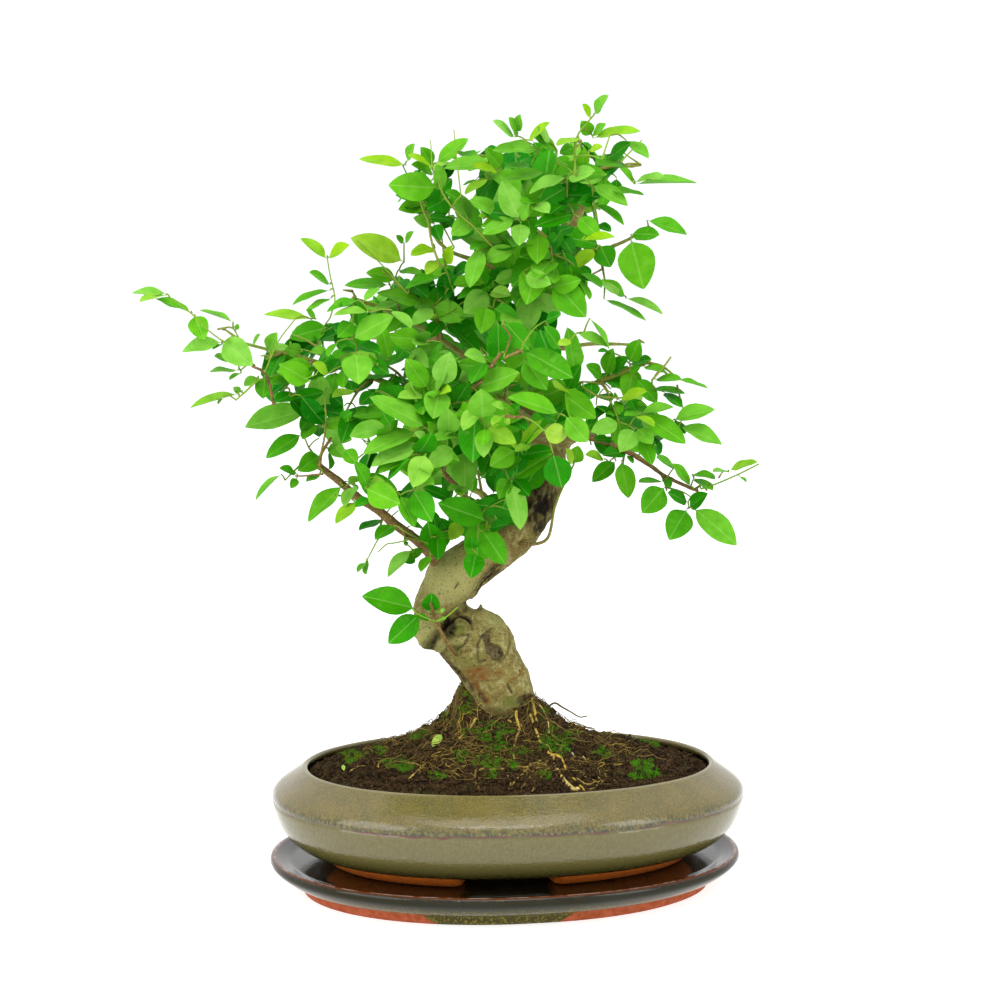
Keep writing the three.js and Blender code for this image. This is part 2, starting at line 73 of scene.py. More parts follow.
# The front view: a camera EYE_DISTANCE from EYE_CENTRE, turned to the pot's left and raised. Places on
# the tree are read in its picture, as pixels across and down, and millimetres behind EYE_CENTRE.
EYE_DISTANCE = 1250
EYE_AZIMUTH = np.radians(-10)
EYE_ELEVATION = np.radians(4.5)
EYE_CENTRE = np.array([0, 0, 243.0])
EYE_FOCUS = 1985
PICTURE_SIZE = 1000
PICTURE_MIDDLE = (509, 500)
EYE_BACK = np.array([
    np.sin(EYE_AZIMUTH) * np.cos(EYE_ELEVATION),
    -np.cos(EYE_AZIMUTH) * np.cos(EYE_ELEVATION),
    np.sin(EYE_ELEVATION),
])
EYE_RIGHT = np.array([np.cos(EYE_AZIMUTH), np.sin(EYE_AZIMUTH), 0])
EYE_UP = np.cross(EYE_BACK, EYE_RIGHT)

# Wooden limbs: radius at even steps, and the way through the picture with the depth behind the trunk
LIMBS = {
    "trunk_low": (
        [25, 24, 21.5, 20.5, 20.2, 20, 18.5],
        [(499, 775, 2), (500, 745, 2), (502, 715, 2), (499, 688, 1), (486, 661, 0), (467, 638, -2),
         (449, 621, -3)],
    ),
    "trunk_high": (
        [15, 16.4, 16, 15.2, 13.6, 12.2, 11.2, 10.4, 9.2, 8.4, 7.8, 7.2, 6.8, 6.2, 5.7, 5.1, 4.5, 3.9,
         3.3, 2.7, 2.1, 1.6],
        [(446, 622, -3), (438, 606, -4), (443, 588, -4), (456, 575, -3), (476, 561, -1), (497, 548, 1),
         (517, 533, 3), (535, 512, 5), (546, 488, 7), (552, 465, 8), (548, 440, 8), (526, 405, 5),
         (519, 380, 3), (526, 352, 1), (542, 325, 0), (557, 297, -1), (566, 268, -2), (569, 240, -2),
         (578, 215, -1), (586, 192, 0), (581, 165, 0), (577, 145, 0)],
    ),
    "low_left": (
        [3.8, 1.9],
        [(447, 585, -4), (427, 550, -14), (391, 521, -22), (355, 494, -30), (311, 460, -36)],
    ),
    "low_middle": ([2.8, 1.4], [(484, 552, -2), (474, 520, -16), (466, 498, -26), (444, 473, -36)]),
    "low_back": ([3.2, 1.4], [(517, 533, 4), (500, 510, 34), (475, 490, 60), (450, 478, 84)]),
    "left": (
        [5, 3.2, 2.2, 1.5, 1.1, 0.9],
        [(543, 440, 6), (500, 428, -6), (450, 408, -20), (400, 388, -30), (340, 368, -36),
         (280, 352, -38), (238, 342, -36)],
    ),
    "upper_left": (
        [4, 2.3, 1.5, 1.1],
        [(526, 405, 5), (485, 372, 10), (440, 338, 14), (392, 312, 14), (352, 298, 12)],
    ),
    "front": ([4, 1.6], [(545, 436, 2), (528, 420, -30), (505, 404, -58), (478, 398, -84)]),
    "front_left": ([3, 1.3], [(450, 408, -20), (428, 425, -52), (398, 440, -78)]),
    "back": ([4, 1.6], [(526, 405, 8), (510, 385, 36), (490, 368, 64), (468, 352, 92)]),
    "back_left": ([2.8, 1.2], [(440, 338, 14), (405, 335, 46), (365, 338, 76)]),
    "low_right": (
        [4, 2.4, 1.7, 1.3, 1.1],
        [(552, 452, 8), (576, 436, 14), (600, 440, 18), (630, 453, 18), (667, 477, 12), (698, 491, 8)],
    ),
    "right": (
        [3.6, 2.2, 1.6, 1.2],
        [(534, 418, 4), (560, 403, -6), (586, 387, -16), (618, 374, -24), (650, 361, -30)],
    ),
    "right_back": ([3.2, 1.6, 1.1, 0.9], [(526, 352, 2), (560, 348, 20), (600, 344, 38), (640, 345, 50)]),
    "back_right": ([3.2, 1.3], [(552, 456, 10), (585, 432, 44), (620, 415, 72)]),
    "top_left": (
        [3, 1.8, 1.2, 0.9],
        [(557, 297, -1), (520, 282, -6), (480, 262, -12), (443, 246, -16), (424, 216, -16)],
    ),
    "top_right": ([2.6, 1.4, 1, 0.8], [(566, 268, -2), (596, 254, -10), (625, 240, -14), (648, 228, -16)]),
    "top_front": ([2.6, 1.2], [(567, 258, -4), (548, 240, -32), (528, 224, -58)]),
    "top_back": ([2.6, 1.2], [(570, 236, 0), (562, 222, 30), (548, 208, 58)]),
    "crown_left": ([2, 1], [(586, 192, 0), (560, 178, -6), (534, 162, -10), (512, 148, -12)]),
    "crown_right": ([1.8, 1.1, 0.8], [(583, 176, 0), (606, 168, -8), (634, 166, -12)]),
}

# Limbs whose bark is brown to the end, where the others turn greener
BROWN_LIMBS = ("low_left", "low_middle", "low_right")

# Leafy sprays, named for their limbs, and the leader, which ends the trunk: how far along the limb each
# grows, and where its twigs' last leaves end
SPRAYS = {
    "low_left_end": (0.97, [(296, 418, -44), (268, 488, -40)]),
    "low_left_side": (0.78, [(318, 512, -58), (345, 452, -16)]),
    "low_left_hanging": (0.52, [(370, 556, -10)]),
    "low_left_under": (0.38, [(402, 572, -34)]),
    "low_left_inner": (0.28, [(452, 530, -48)]),
    "low_middle_end": (0.98, [(416, 448, -50), (462, 446, -62)]),
    "low_middle_side": (0.6, [(512, 512, -50)]),
    "low_back_end": (0.97, [(408, 470, 104)]),
    "low_back_side": (0.6, [(470, 446, 92)]),
    "left_end": (0.98, [(141, 293, -44), (190, 345, -58)]),
    "left_drooping": (0.86, [(205, 402, -50)]),
    "left_under": (0.76, [(256, 420, -66)]),
    "left_over": (0.7, [(272, 318, -12)]),
    "left_front": (0.58, [(330, 432, -78)]),
    "left_middle": (0.45, [(362, 345, -66)]),
    "left_foot": (0.22, [(470, 380, -62)]),
    "upper_left_end": (0.98, [(326, 246, 10), (292, 303, 0)]),
    "upper_left_side": (0.75, [(376, 244, 12)]),
    "upper_left_middle": (0.52, [(424, 286, -24)]),
    "front_left_end": (0.97, [(362, 462, -100)]),
    "front_left_side": (0.6, [(410, 382, -90)]),
    "front_end": (0.97, [(436, 424, -108)]),
    "front_over": (0.7, [(515, 356, -92)]),
    "front_under": (0.55, [(530, 462, -78)]),
    "back_end": (0.97, [(425, 330, 112)]),
    "back_over": (0.68, [(515, 318, 92)]),
    "back_under": (0.5, [(440, 402, 74)]),
    "back_left_end": (0.97, [(318, 335, 98)]),
    "back_left_over": (0.6, [(380, 285, 72)]),
    "low_right_end": (0.98, [(750, 464, 2), (730, 536, -8)]),
    "low_right_hanging": (0.76, [(676, 528, 0)]),
    "low_right_side": (0.5, [(618, 494, 30)]),
    "right_end": (0.97, [(706, 392, -40), (714, 438, -36)]),
    "right_side": (0.6, [(622, 424, -58)]),
    "right_back_end": (0.97, [(664, 314, 62), (672, 372, 72)]),
    "back_right_end": (0.97, [(668, 408, 88)]),
    "back_right_side": (0.55, [(600, 480, 66)]),
    "top_left_end": (0.98, [(386, 160, -18), (398, 222, -30)]),
    "top_left_side": (0.55, [(462, 196, -44)]),
    "top_left_under": (0.35, [(486, 326, -52)]),
    "top_right_end": (0.97, [(684, 228, -20), (640, 282, -38)]),
    "top_right_under": (0.4, [(612, 310, -26)]),
    "top_front_end": (0.97, [(506, 200, -82)]),
    "top_front_under": (0.5, [(556, 292, -74)]),
    "top_back_end": (0.97, [(526, 186, 84), (592, 196, 64)]),
    "crown_left_end": (0.97, [(506, 120, -14), (462, 168, -26)]),
    "crown_right_end": (0.95, [(692, 180, -14), (640, 132, -20)]),
    "leader": (0.992, [(603, 98, 0), (552, 132, 10)]),
}

# Shoots that grow straight from the trunk, and their ways
SHOOTS = {
    "whip_shoot": [(519, 543, -8), (535, 544, -10), (547, 539, -10), (555, 506, -10), (562, 489, -10),
                   (574, 464, -10)],
    "trunk_sprout": [(462, 658, -6), (453, 651, -24), (445, 639, -32), (438, 626, -35), (434, 614, -38),
                     (430.5, 603, -43)],
}

# Knots that thicken the trunk at its bend: a place in the picture and three half axes
KNOTS = [
    ((477, 636, -3), (15, 15, 18)),
    ((450, 628, -6), (16, 16, 15)),
    ((438, 608, -4), (15, 15, 16)),
    ((480, 608, -1), (1.9, 1.9, 3.6)),
]

# Surface roots round the mound's back and sides: heading from +X, reach, radius at each end
HIDDEN_ROOTS = [
    (-160, 66, 3.2, 1.2), (-24, 76, 3.4, 1.2), (32, 64, 4.5, 1.5), (80, 60, 4.5, 1.5), (135, 64, 4.5, 1.5),
]

# The crown's outline in the picture, which the leaves keep inside
CROWN_OUTLINE = [
    (603, 95), (612, 104), (602, 112), (606, 120), (612, 127), (641, 129), (624, 137), (650, 148),
    (642, 160), (656, 171), (697, 181), (660, 189), (646, 200), (642, 213), (667, 217), (688, 233),
    (652, 233), (657, 246), (656, 274), (640, 290), (651, 300), (664, 313), (640, 313), (622, 309),
    (604, 301), (597, 318), (610, 335), (634, 341), (648, 350), (670, 359), (674, 371), (708, 387),
    (696, 394), (715, 409), (702, 417), (716, 428), (724, 444), (690, 439), (668, 446), (690, 464),
    (712, 473), (728, 470), (745, 457), (760, 464), (746, 478), (722, 488), (708, 496), (724, 512),
    (739, 545), (712, 534), (692, 531), (676, 540), (664, 515), (640, 513), (634, 494), (620, 492),
    (610, 479), (592, 482), (584, 463), (568, 462), (570, 480), (556, 500), (528, 528), (508, 564),
    (488, 575), (470, 580), (458, 562), (448, 546), (430, 546), (410, 560), (395, 578), (383, 580),
    (390, 560), (368, 577), (356, 574), (364, 550), (376, 530), (360, 514), (340, 526), (306, 522),
    (320, 501), (298, 493), (276, 475), (254, 499), (256, 482), (278, 467), (264, 458), (274, 440),
    (294, 434), (274, 429), (244, 425), (260, 410), (242, 399), (190, 408), (208, 393), (238, 384),
    (226, 373), (210, 359), (180, 350), (194, 343), (203, 340), (186, 331), (184, 315), (170, 303),
    (150, 301), (131, 292), (148, 283), (166, 289), (181, 301), (206, 311), (240, 321), (242, 333),
    (262, 335), (286, 331), (282, 319), (262, 312), (290, 307), (310, 310), (291, 303), (292, 295),
    (311, 271), (324, 268), (320, 258), (299, 240), (316, 235), (328, 244), (351, 241), (336, 256),
    (338, 280), (350, 299), (365, 282), (371, 268), (350, 240), (380, 226), (404, 239), (406, 260),
    (420, 249), (430, 231), (411, 216), (407, 199), (386, 189), (391, 178), (403, 168), (358, 157),
    (386, 149), (408, 159), (420, 147), (444, 145), (455, 131), (461, 145), (478, 149), (491, 140),
    (492, 121), (516, 115), (530, 121), (546, 124), (556, 137), (579, 133), (577, 120), (589, 112),
    (596, 97),
]


def unit(vectors):
    """The vectors at length 1."""
    return vectors / np.maximum(np.linalg.norm(vectors, axis=-1, keepdims=True), 1e-9)


def ramp(low, high, values):
    """0 at or below low, 1 at or above high, and a smooth slope between."""
    share = np.clip((values - low) / (high - low), 0, 1)
    return share * share * (3 - 2 * share)


def seen(places):
    """The points that the picture shows at places of (across, down, behind)."""
    across, down, behind = np.asarray(places, float).T[..., None]
    reach = (EYE_DISTANCE + behind) / EYE_FOCUS
    return (
        EYE_CENTRE
        - behind * EYE_BACK
        + (across - PICTURE_MIDDLE[0]) * reach * EYE_RIGHT
        + (PICTURE_MIDDLE[1] - down) * reach * EYE_UP
    )


def picture(points):
    """The places of (across, down, behind) at which the picture shows points."""
    offset = points - EYE_CENTRE
    behind = -(offset @ EYE_BACK)
    reach = (EYE_DISTANCE + behind) / EYE_FOCUS
    across = PICTURE_MIDDLE[0] + (offset @ EYE_RIGHT) / reach
    down = PICTURE_MIDDLE[1] - (offset @ EYE_UP) / reach
    return np.stack([across, down, behind], -1)


def scatter(cells, seed):
    """A fixed random number from 0 to 1 for each cell of whole-number coordinates."""
    mixed = (cells[..., 0] * 374761393 + cells[..., 1] * 668265263 + cells[..., 2] * 2147483647
             + seed * 1274126177) & 0xFFFFFFFF
    mixed = ((mixed ^ (mixed >> 13)) * 1274126177) & 0xFFFFFFFF
    return (mixed ^ (mixed >> 16)) / 0xFFFFFFFF


def noise(points, size, seed, octaves=3):
    """Smooth noise from -1 to 1: random values on a lattice `size` apart, blended between its corners,
    with finer layers of half the size and half the height on top."""
    total = 0
    weight = 0
    for octave in range(octaves):
        at = points / (size * 0.5 ** octave)
        cell = np.floor(at).astype(np.int64)
        share = at - cell
        share = share * share * (3 - 2 * share)
        layer = 0
        for corner in product((0, 1), repeat=3):
            near = np.where(np.array(corner) == 1, share, 1 - share).prod(-1)
            layer = layer + near * scatter(cell + np.array(corner), seed + octave)
        total = total + (layer * 2 - 1) * 0.5 ** octave
        weight += 0.5 ** octave
    return total / weight


def smooth_way(points, count):
    """`count` points evenly spaced along a smooth curve through `points`: cubics whose slopes at the
    given points come from their neighbours, with the root of the distance as the curve's time."""
    points = np.asarray(points, float)
    steps = np.sqrt(np.linalg.norm(np.diff(points, axis=0), axis=1))
    marks = np.concatenate([[0], np.cumsum(steps)])
    slopes = np.gradient(points, marks, axis=0)
    fine = np.linspace(0, marks[-1], 24 * len(points))
    span = np.clip(np.searchsorted(marks, fine, side="right") - 1, 0, len(points) - 2)
    step = steps[span][:, None]
    t = (fine[:, None] - marks[span][:, None]) / step
    curve = (
        (2 * t ** 3 - 3 * t ** 2 + 1) * points[span]
        + (t ** 3 - 2 * t ** 2 + t) * step * slopes[span]
        + (3 * t ** 2 - 2 * t ** 3) * points[span + 1]
        + (t ** 3 - t ** 2) * step * slopes[span + 1]
    )
    lengths = np.concatenate([[0], np.cumsum(np.linalg.norm(np.diff(curve, axis=0), axis=1))])
    even = np.linspace(0, lengths[-1], count)
    return np.stack([np.interp(even, lengths, curve[:, axis]) for axis in range(points.shape[1])], -1)


def way_length(way):
    """The length of a way of points."""
    return np.linalg.norm(np.diff(way, axis=0), axis=1).sum()


def along(way, share):
    """The point at a share of the way, and the way's direction there."""
    place = share * (len(way) - 1)
    before = min(int(place), len(way) - 2)
    ahead = way[before + 1] - way[before]
    return way[before] + (place - before) * ahead, unit(ahead)


def spread(values, count):
    """Values given at even steps, read at `count` even steps."""
    return np.interp(np.linspace(0, 1, count), np.linspace(0, 1, len(values)), values)


def turns(sides):
    """Even angles once round."""
    return np.arange(sides) / sides * 2 * np.pi


def circle(sides):
    """Points round a level circle of radius 1."""
    angle = turns(sides)
    return np.stack([np.cos(angle), np.sin(angle), 0 * angle], -1)


def skin(rings, first=None, last=None):
    """A surface over rings of points (rings, sides, 3) that turn left round the way they follow, with
    a point to close either end."""
    count, sides = rings.shape[:2]
    place = np.arange(count * sides).reshape(count, sides)
    beside = np.roll(place, -1, axis=1)
    faces = [np.stack([place[:-1], beside[:-1], beside[1:], place[1:]], -1).reshape(-1, 4)]
    points = [rings.reshape(-1, 3)]
    none = np.full(sides, -1)
    for pole, edge in ((first, (beside[0], place[0])), (last, (place[-1], beside[-1]))):
        if pole is not None:
            tip = np.full(sides, sum(len(part) for part in points))
            faces.append(np.stack([tip, *edge, none], -1))
            points.append(np.reshape(pole, (1, 3)))
    return {"points": np.concatenate(points), "faces": np.concatenate(faces)}


def tube(way, radius, sides, bumps=0):
    """A round tube: a ring of `sides` points round each point of the way, with uneven bumps, and a
    point at each end to close it."""
    heading = unit(np.gradient(way, axis=0))
    reference = np.eye(3)[np.argmin(np.abs(heading).mean(0))]
    side = unit(np.cross(heading, reference))
    up = np.cross(heading, side)
    turn = turns(sides)
    spoke = np.cos(turn)[:, None] * side[:, None] + np.sin(turn)[:, None] * up[:, None]
    thick = np.broadcast_to(np.asarray(radius, float), len(way))[:, None, None]
    rings = way[:, None] + spoke * thick
    if bumps:
        rings = rings + spoke * bumps * noise(rings, 3 + 2 * float(thick.mean()), 7)[..., None]
    return skin(rings, way[0] - heading[0] * thick[0, 0] * 0.3, way[-1] + heading[-1] * thick[-1, 0] * 0.5)


def join(shapes):
    """Several shapes as one: their points, faces and point values, one after another."""
    starts = np.cumsum([0] + [len(shape["points"]) for shape in shapes[:-1]])
    joined = {key: np.concatenate([shape[key] for shape in shapes]) for key in shapes[0]}
    joined["faces"] = np.concatenate([
        np.where(shape["faces"] >= 0, shape["faces"] + start, -1)
        for shape, start in zip(shapes, starts)
    ])
    return joined


def with_values(shape, **values):
    """The shape with point values: one number for all its points, or one each."""
    count = len(shape["points"])
    return {**shape, **{name: np.broadcast_to(value, count) for name, value in values.items()}}


def read(parts, what, width=1, kind=np.int32):
    """One property of all the vertices, edges, faces or corners of a mesh."""
    values = np.zeros(len(parts) * width, kind)
    parts.foreach_get(what, values)
    return values


def make_mesh(name, shape):
    """A smooth mesh in metres, with the shape's point values as attributes and its `uv` as a map. Edges
    whose two ends lie on the same `rim` of a leaf are sharp."""
    faces = shape["faces"]
    corners = faces[faces >= 0].astype(np.int32)
    counts = (faces >= 0).sum(1)
    mesh = bpy.data.meshes.new(name)
    mesh.vertices.add(len(shape["points"]))
    mesh.vertices.foreach_set("co", (shape["points"] * MM).astype(np.float32).ravel())
    mesh.loops.add(len(corners))
    mesh.loops.foreach_set("vertex_index", corners)
    mesh.polygons.add(len(faces))
    mesh.polygons.foreach_set("loop_start", np.cumsum(np.concatenate([[0], counts[:-1]])))
    mesh.update(calc_edges=True)
    mesh.polygons.foreach_set("use_smooth", np.ones(len(faces), bool))
    for key, values in shape.items():
        if key == "uv":
            layer = mesh.uv_layers.new(name="UVMap")
            layer.data.foreach_set("uv", values[corners].astype(np.float32).ravel())
        elif key == "rim":
            first, second = values[read(mesh.edges, "vertices", 2).reshape(-1, 2)].T
            sharp = (first == second) & (first > 0)
            mesh.attributes.new("sharp_edge", "BOOLEAN", "EDGE").data.foreach_set("value", sharp)
        elif key not in ("points", "faces"):
            made = mesh.attributes.new(key, "FLOAT", "POINT")
            made.data.foreach_set("value", np.asarray(values, np.float32))
    mesh.validate()
    return mesh


def add_object(name, data):
    """An object in the scene for a mesh, a lamp or a camera."""
    made = bpy.data.objects.new(name, data)
    bpy.context.scene.collection.objects.link(made)
    return made


def stand(thing, across, up, back, place):
    """Puts a lamp or the camera at a place in metres, looking away from `back`."""
    axes = np.stack([across, up, back], 1)
    thing.matrix_world = Matrix([(*row, at) for row, at in zip(axes, place)] + [(0, 0, 0, 1)])


def make_piece(name, shape, material, slot, *nodes):
    """A shown piece of the object, which rides on the root and stands for CAD nodes."""
    piece = add_object(name, make_mesh(name, shape))
    piece.data.materials.append(material)
    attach(piece, "root")
    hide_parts(*nodes)
    return piece


def read_shape(piece):
    """The points and faces of an object as its modifiers leave it, and its normals."""
    mesh = piece.evaluated_get(bpy.context.evaluated_depsgraph_get()).to_mesh()
    points, normals = (
        read(mesh.vertices, what, 3, np.float32).reshape(-1, 3) for what in ("co", "normal"))
    sizes, starts = (read(mesh.polygons, what) for what in ("loop_total", "loop_start"))
    corners = read(mesh.loops, "vertex_index")
    faces = np.full((len(sizes), max(4, sizes.max())), -1)
    for corner in range(faces.shape[1]):
        has = sizes > corner
        faces[has, corner] = corners[starts[has] + corner]
    return {"points": points / MM, "faces": faces}, normals


# Materials

def linear(colour):
    """A linear colour from an sRGB hex value."""
    parts = np.array([int(colour[i:i + 2], 16) for i in (1, 3, 5)]) / 255
    parts = np.where(parts <= 0.04045, parts / 12.92, ((parts + 0.055) / 1.055) ** 2.4)
    return (*parts, 1)


def per(size):
    """The scale of a pattern on Object coordinates whose parts are `size` millimetres wide."""
    return 1 / (size * MM)


def put(material, kind, inputs=None, out=0, stops=(), **settings):
    """Adds a node, sets its options, fills its inputs with values or with other nodes' outputs, and
    gives back one of its own outputs."""
    tree = material.node_tree
    made = tree.nodes.new(f"ShaderNode{kind}")
    for option, value in settings.items():
        setattr(made, option, value)
    for stop, (place, colour) in enumerate(stops):
        marks = made.color_ramp.elements
        mark = marks[stop] if stop < 2 else marks.new(place)
        mark.position = place
        mark.color = linear(colour)
    for key, value in (inputs or {}).items():
        if isinstance(value, bpy.types.NodeSocket):
            tree.links.new(value, made.inputs[key])
        else:
            made.inputs[key].default_value = linear(value) if isinstance(value, str) else value
    return made.outputs[out] if made.outputs else None


def new_material(name):
    """A material that holds one node, the Object coordinates that its patterns lie on."""
    material = bpy.data.materials.new(name)
    material.use_nodes = True
    material.node_tree.nodes.clear()
    put(material, "TexCoord", name="where")
    return material


def place_on(material):
    """The Object coordinates of a material."""
    return material.node_tree.nodes["where"].outputs["Object"]


def spots(material, size, low=0, high=1, detail=3, stretch=None):
    """A pattern from 0 to 1 of noise `size` millimetres wide, cut between two levels. `stretch` draws
    it out along the axes."""
    where = place_on(material)
    if stretch:
        where = put(material, "Mapping", {"Vector": where, "Scale": [1 / share for share in stretch]})
    fine = put(material, "TexNoise", {"Vector": where, "Scale": per(size), "Detail": detail})
    return put(material, "MapRange", {0: fine, 1: low, 2: high})


def coats(material, colour, *layers):
    """A colour under the layers laid over it. A layer is its own colour and its shares from 0 to 1,
    which are multiplied: numbers, outputs, names of the piece's values, or what makes spots."""
    for over, *shares in layers:
        whole = None
        for share in shares:
            if isinstance(share, str):
                share = put(material, "Attribute", out="Fac", attribute_name=share)
            elif isinstance(share, tuple):
                share = spots(material, *share)
            if whole is None:
                whole = share
            else:
                whole = put(material, "Math", {0: whole, 1: share}, operation="MULTIPLY")
        colour = put(material, "Mix", {0: whole, 6: colour, 7: over}, 2, data_type="RGBA")
    return colour


def height_of(material):
    """Height above the table, in millimetres."""
    metres = put(material, "SeparateXYZ", {0: place_on(material)}, "Z")
    return put(material, "Math", {0: metres, 1: 1 / MM}, operation="MULTIPLY")


def finish(material, colour, roughness, bump=None, depth=0, shine=0.5, **settings):
    """The surface: a Principled shader with a bump of `depth` millimetres, joined to the output."""
    inputs = {"Base Color": colour, "Roughness": roughness, "Specular IOR Level": shine, **settings}
    if bump is not None:
        inputs["Normal"] = put(material, "Bump", {"Height": bump, "Distance": depth * MM})
    put(material, "OutputMaterial", {"Surface": put(material, "BsdfPrincipled", inputs)})
    return material


def pot_glaze():
    """Olive stoneware glaze over red clay: glossy, khaki with golden speckle where it lies thick,
    greyer and streaked below the widest line, bare terracotta on the feet and underneath."""
    glaze = new_material("olive_stoneware_glaze")
    height = height_of(glaze)
    drift = spots(glaze, 22, detail=2)
    wavy = put(glaze, "Math", {0: drift, 1: 5, 2: height}, operation="MULTIPLY_ADD")
    above = coats(
        glaze, "#6C6036",
        ("#5A5432", (16, 0.35, 0.7)),
        ("#7C6A36", (1.3, 0.5, 0.75, 3, (1, 1, 2))),
        ("#42401C", (0.9, 0.5, 0.75)))
    foot = put(glaze, "MapRange", {0: height, 1: 44, 2: 29}, interpolation_type="SMOOTHSTEP")
    below = coats(
        glaze, "#665F3C",
        ("#57522C", (1.6, 0.3, 0.75, 3, (1, 1, 2))),
        ("#403C1C", (0.7, 0.6, 0.72)),
        ("#47431F", foot))
    seam = 59.5
    split = put(glaze, "MapRange", {0: wavy, 1: seam - 0.4, 2: seam + 0.4})
    pooled = put(glaze, "MapRange", {0: wavy, 1: seam + 7, 2: seam + 1})
    line = put(glaze, "Math", {0: wavy, 1: seam, 2: 0.5}, operation="COMPARE")
    edge = put(glaze, "MapRange", {0: height, 1: 75.9, 2: 77.2})
    clay = coats(glaze, "#CC6608", ("#9C4A08", (2.5, 0.55, 0.7)), ("#2E1A12", (0.8, 0.66, 0.7)))
    bare = put(glaze, "MapRange", {0: height, 1: 24.7, 2: 24.1})
    colour = coats(
        glaze, below,
        (above, split),
        ("#33382A", pooled, (1.6, 0.42, 0.58, 3, (1, 1, 1.6)), split),
        ("#5E3B35", line, (24, 0.4, 0.5)),
        ("#7E7448", edge),
        (clay, bare))
    rough = put(glaze, "MapRange", {0: bare, 3: 0.09, 4: 0.75})
    return finish(glaze, colour, rough, spots(glaze, 4, 0.2, 0.8, 2, (1, 1, 0.3)), 0.12)


def saucer_glaze():
    """The same clay under a darker glaze: brown-black and glossy inside, blue-grey and olive outside,
    rusty where it thins over the rim with a painted broken highlight along its crest, bare and salmon-red
    round the foot."""
    glaze = new_material("dark_stoneware_glaze")
    height = height_of(glaze)
    low = put(glaze, "MapRange", {0: height, 1: 14, 2: 8})
    outer = coats(
        glaze, "#2A2A22",
        ("#262414", (12, 0.35, 0.7, 3, (3, 3, 1))),
        ("#454020", low),
        ("#7A7030", low, (1.5, 0.5, 0.66)))
    inner = coats(glaze, "#1A1208", ("#2E2614", (5, 0.4, 0.7)), ("#5A4A2A", (1, 0.62, 0.7)))
    facing = put(glaze, "SeparateXYZ", {0: put(glaze, "NewGeometry", out="Normal")}, "Z")
    up = put(glaze, "MapRange", {0: facing, 1: 0.2, 2: 0.5})
    rim = put(glaze, "MapRange", {0: height, 1: 20.3, 2: 20.9})
    # painted highlight: a broken pale line along the rim's crest stands for the front light's reflection,
    # laid over the rusty brown where the glaze thins
    crest_highlight = put(glaze, "MapRange", {0: height, 1: 20.75, 2: 20.95})
    rusty_rim_and_highlight = coats(glaze, "#6A3212", ("#A8988C", crest_highlight, (6, 0.44, 0.6)))
    clay = coats(glaze, "#A8583A", ("#8C4626", (4, 0.4, 0.7)), ("#4A2010", (0.9, 0.66, 0.72)))
    middle = put(glaze, "Math", {0: put(glaze, "SeparateXYZ", {0: place_on(glaze)}, "X"), 1: 23 * MM})
    middle = put(glaze, "Math", {0: middle}, operation="ABSOLUTE")
    edge = put(glaze, "MapRange", {0: middle, 1: 33 * MM, 2: 49 * MM, 3: -2, 4: 6.8})
    edge = put(glaze, "Math", {0: spots(glaze, 5, detail=2), 1: 1.5, 2: edge}, operation="MULTIPLY_ADD")
    bare = put(glaze, "Math", {0: height, 1: edge}, operation="LESS_THAN")
    colour = coats(glaze, outer, (inner, up), (rusty_rim_and_highlight, rim), (clay, bare))
    rough = put(glaze, "MapRange", {0: bare, 3: 0.1, 4: 0.8})
    shine = put(glaze, "MapRange", {0: up, 3: 0.08, 4: 0.32})
    return finish(glaze, colour, rough, spots(glaze, 4), 0.05, shine)


def mesh_plastic():
    """Moulded polypropylene: near-black, satin."""
    plastic = new_material("moulded_polypropylene")
    colour = coats(plastic, "#1D2023", ("#2A2E31", (2, 0.3, 0.7)))
    return finish(plastic, colour, 0.55, spots(plastic, 0.6, detail=2), 0.03)


def peat():
    """Damp fibrous peat: near-black brown with tan crumbs and a green bloom of algae."""
    crumbly = new_material("damp_fibrous_peat")
    colour = coats(
        crumbly, "#1A1208",
        ("#3A2B17", (6, 0.35, 0.65)),
        ("#513C26", (1.4, 0.52, 0.64)),
        ("#080502", (1.1, 0.58, 0.66)),
        ("#2C340A", "bloom"))
    return finish(crumbly, colour, 0.85, spots(crumbly, 1.2, detail=5), 0.6, 0.08)


def moss_green():
    """Living cushion moss: matt, deep green between the shoots and yellow-green at their tips."""
    moss = new_material("living_cushion_moss")
    colour = coats(moss, "#18340A", ("#5A9412", "tip"), ("#625E18", "tone"), ("#3C8A06", (4, 0.45, 0.7)))
    return finish(moss, colour, 0.8, shine=0.1)


def root_skin():
    """Thin root bark: tan to straw-yellow, dull, darker where it is old."""
    straw = new_material("fibrous_root_skin")
    tone = put(straw, "Attribute", out="Fac", attribute_name="tone")
    tone = put(straw, "ValToRGB", {0: tone}, stops=[
        (0, "#261B0A"), (1, "#D9D3B0"), (0.35, "#574620"), (0.6, "#94803F"), (0.8, "#C2A53E")])
    return finish(straw, coats(straw, tone, ("#5C4426", (1.5, 0.45, 0.7))), 0.75, shine=0.15)


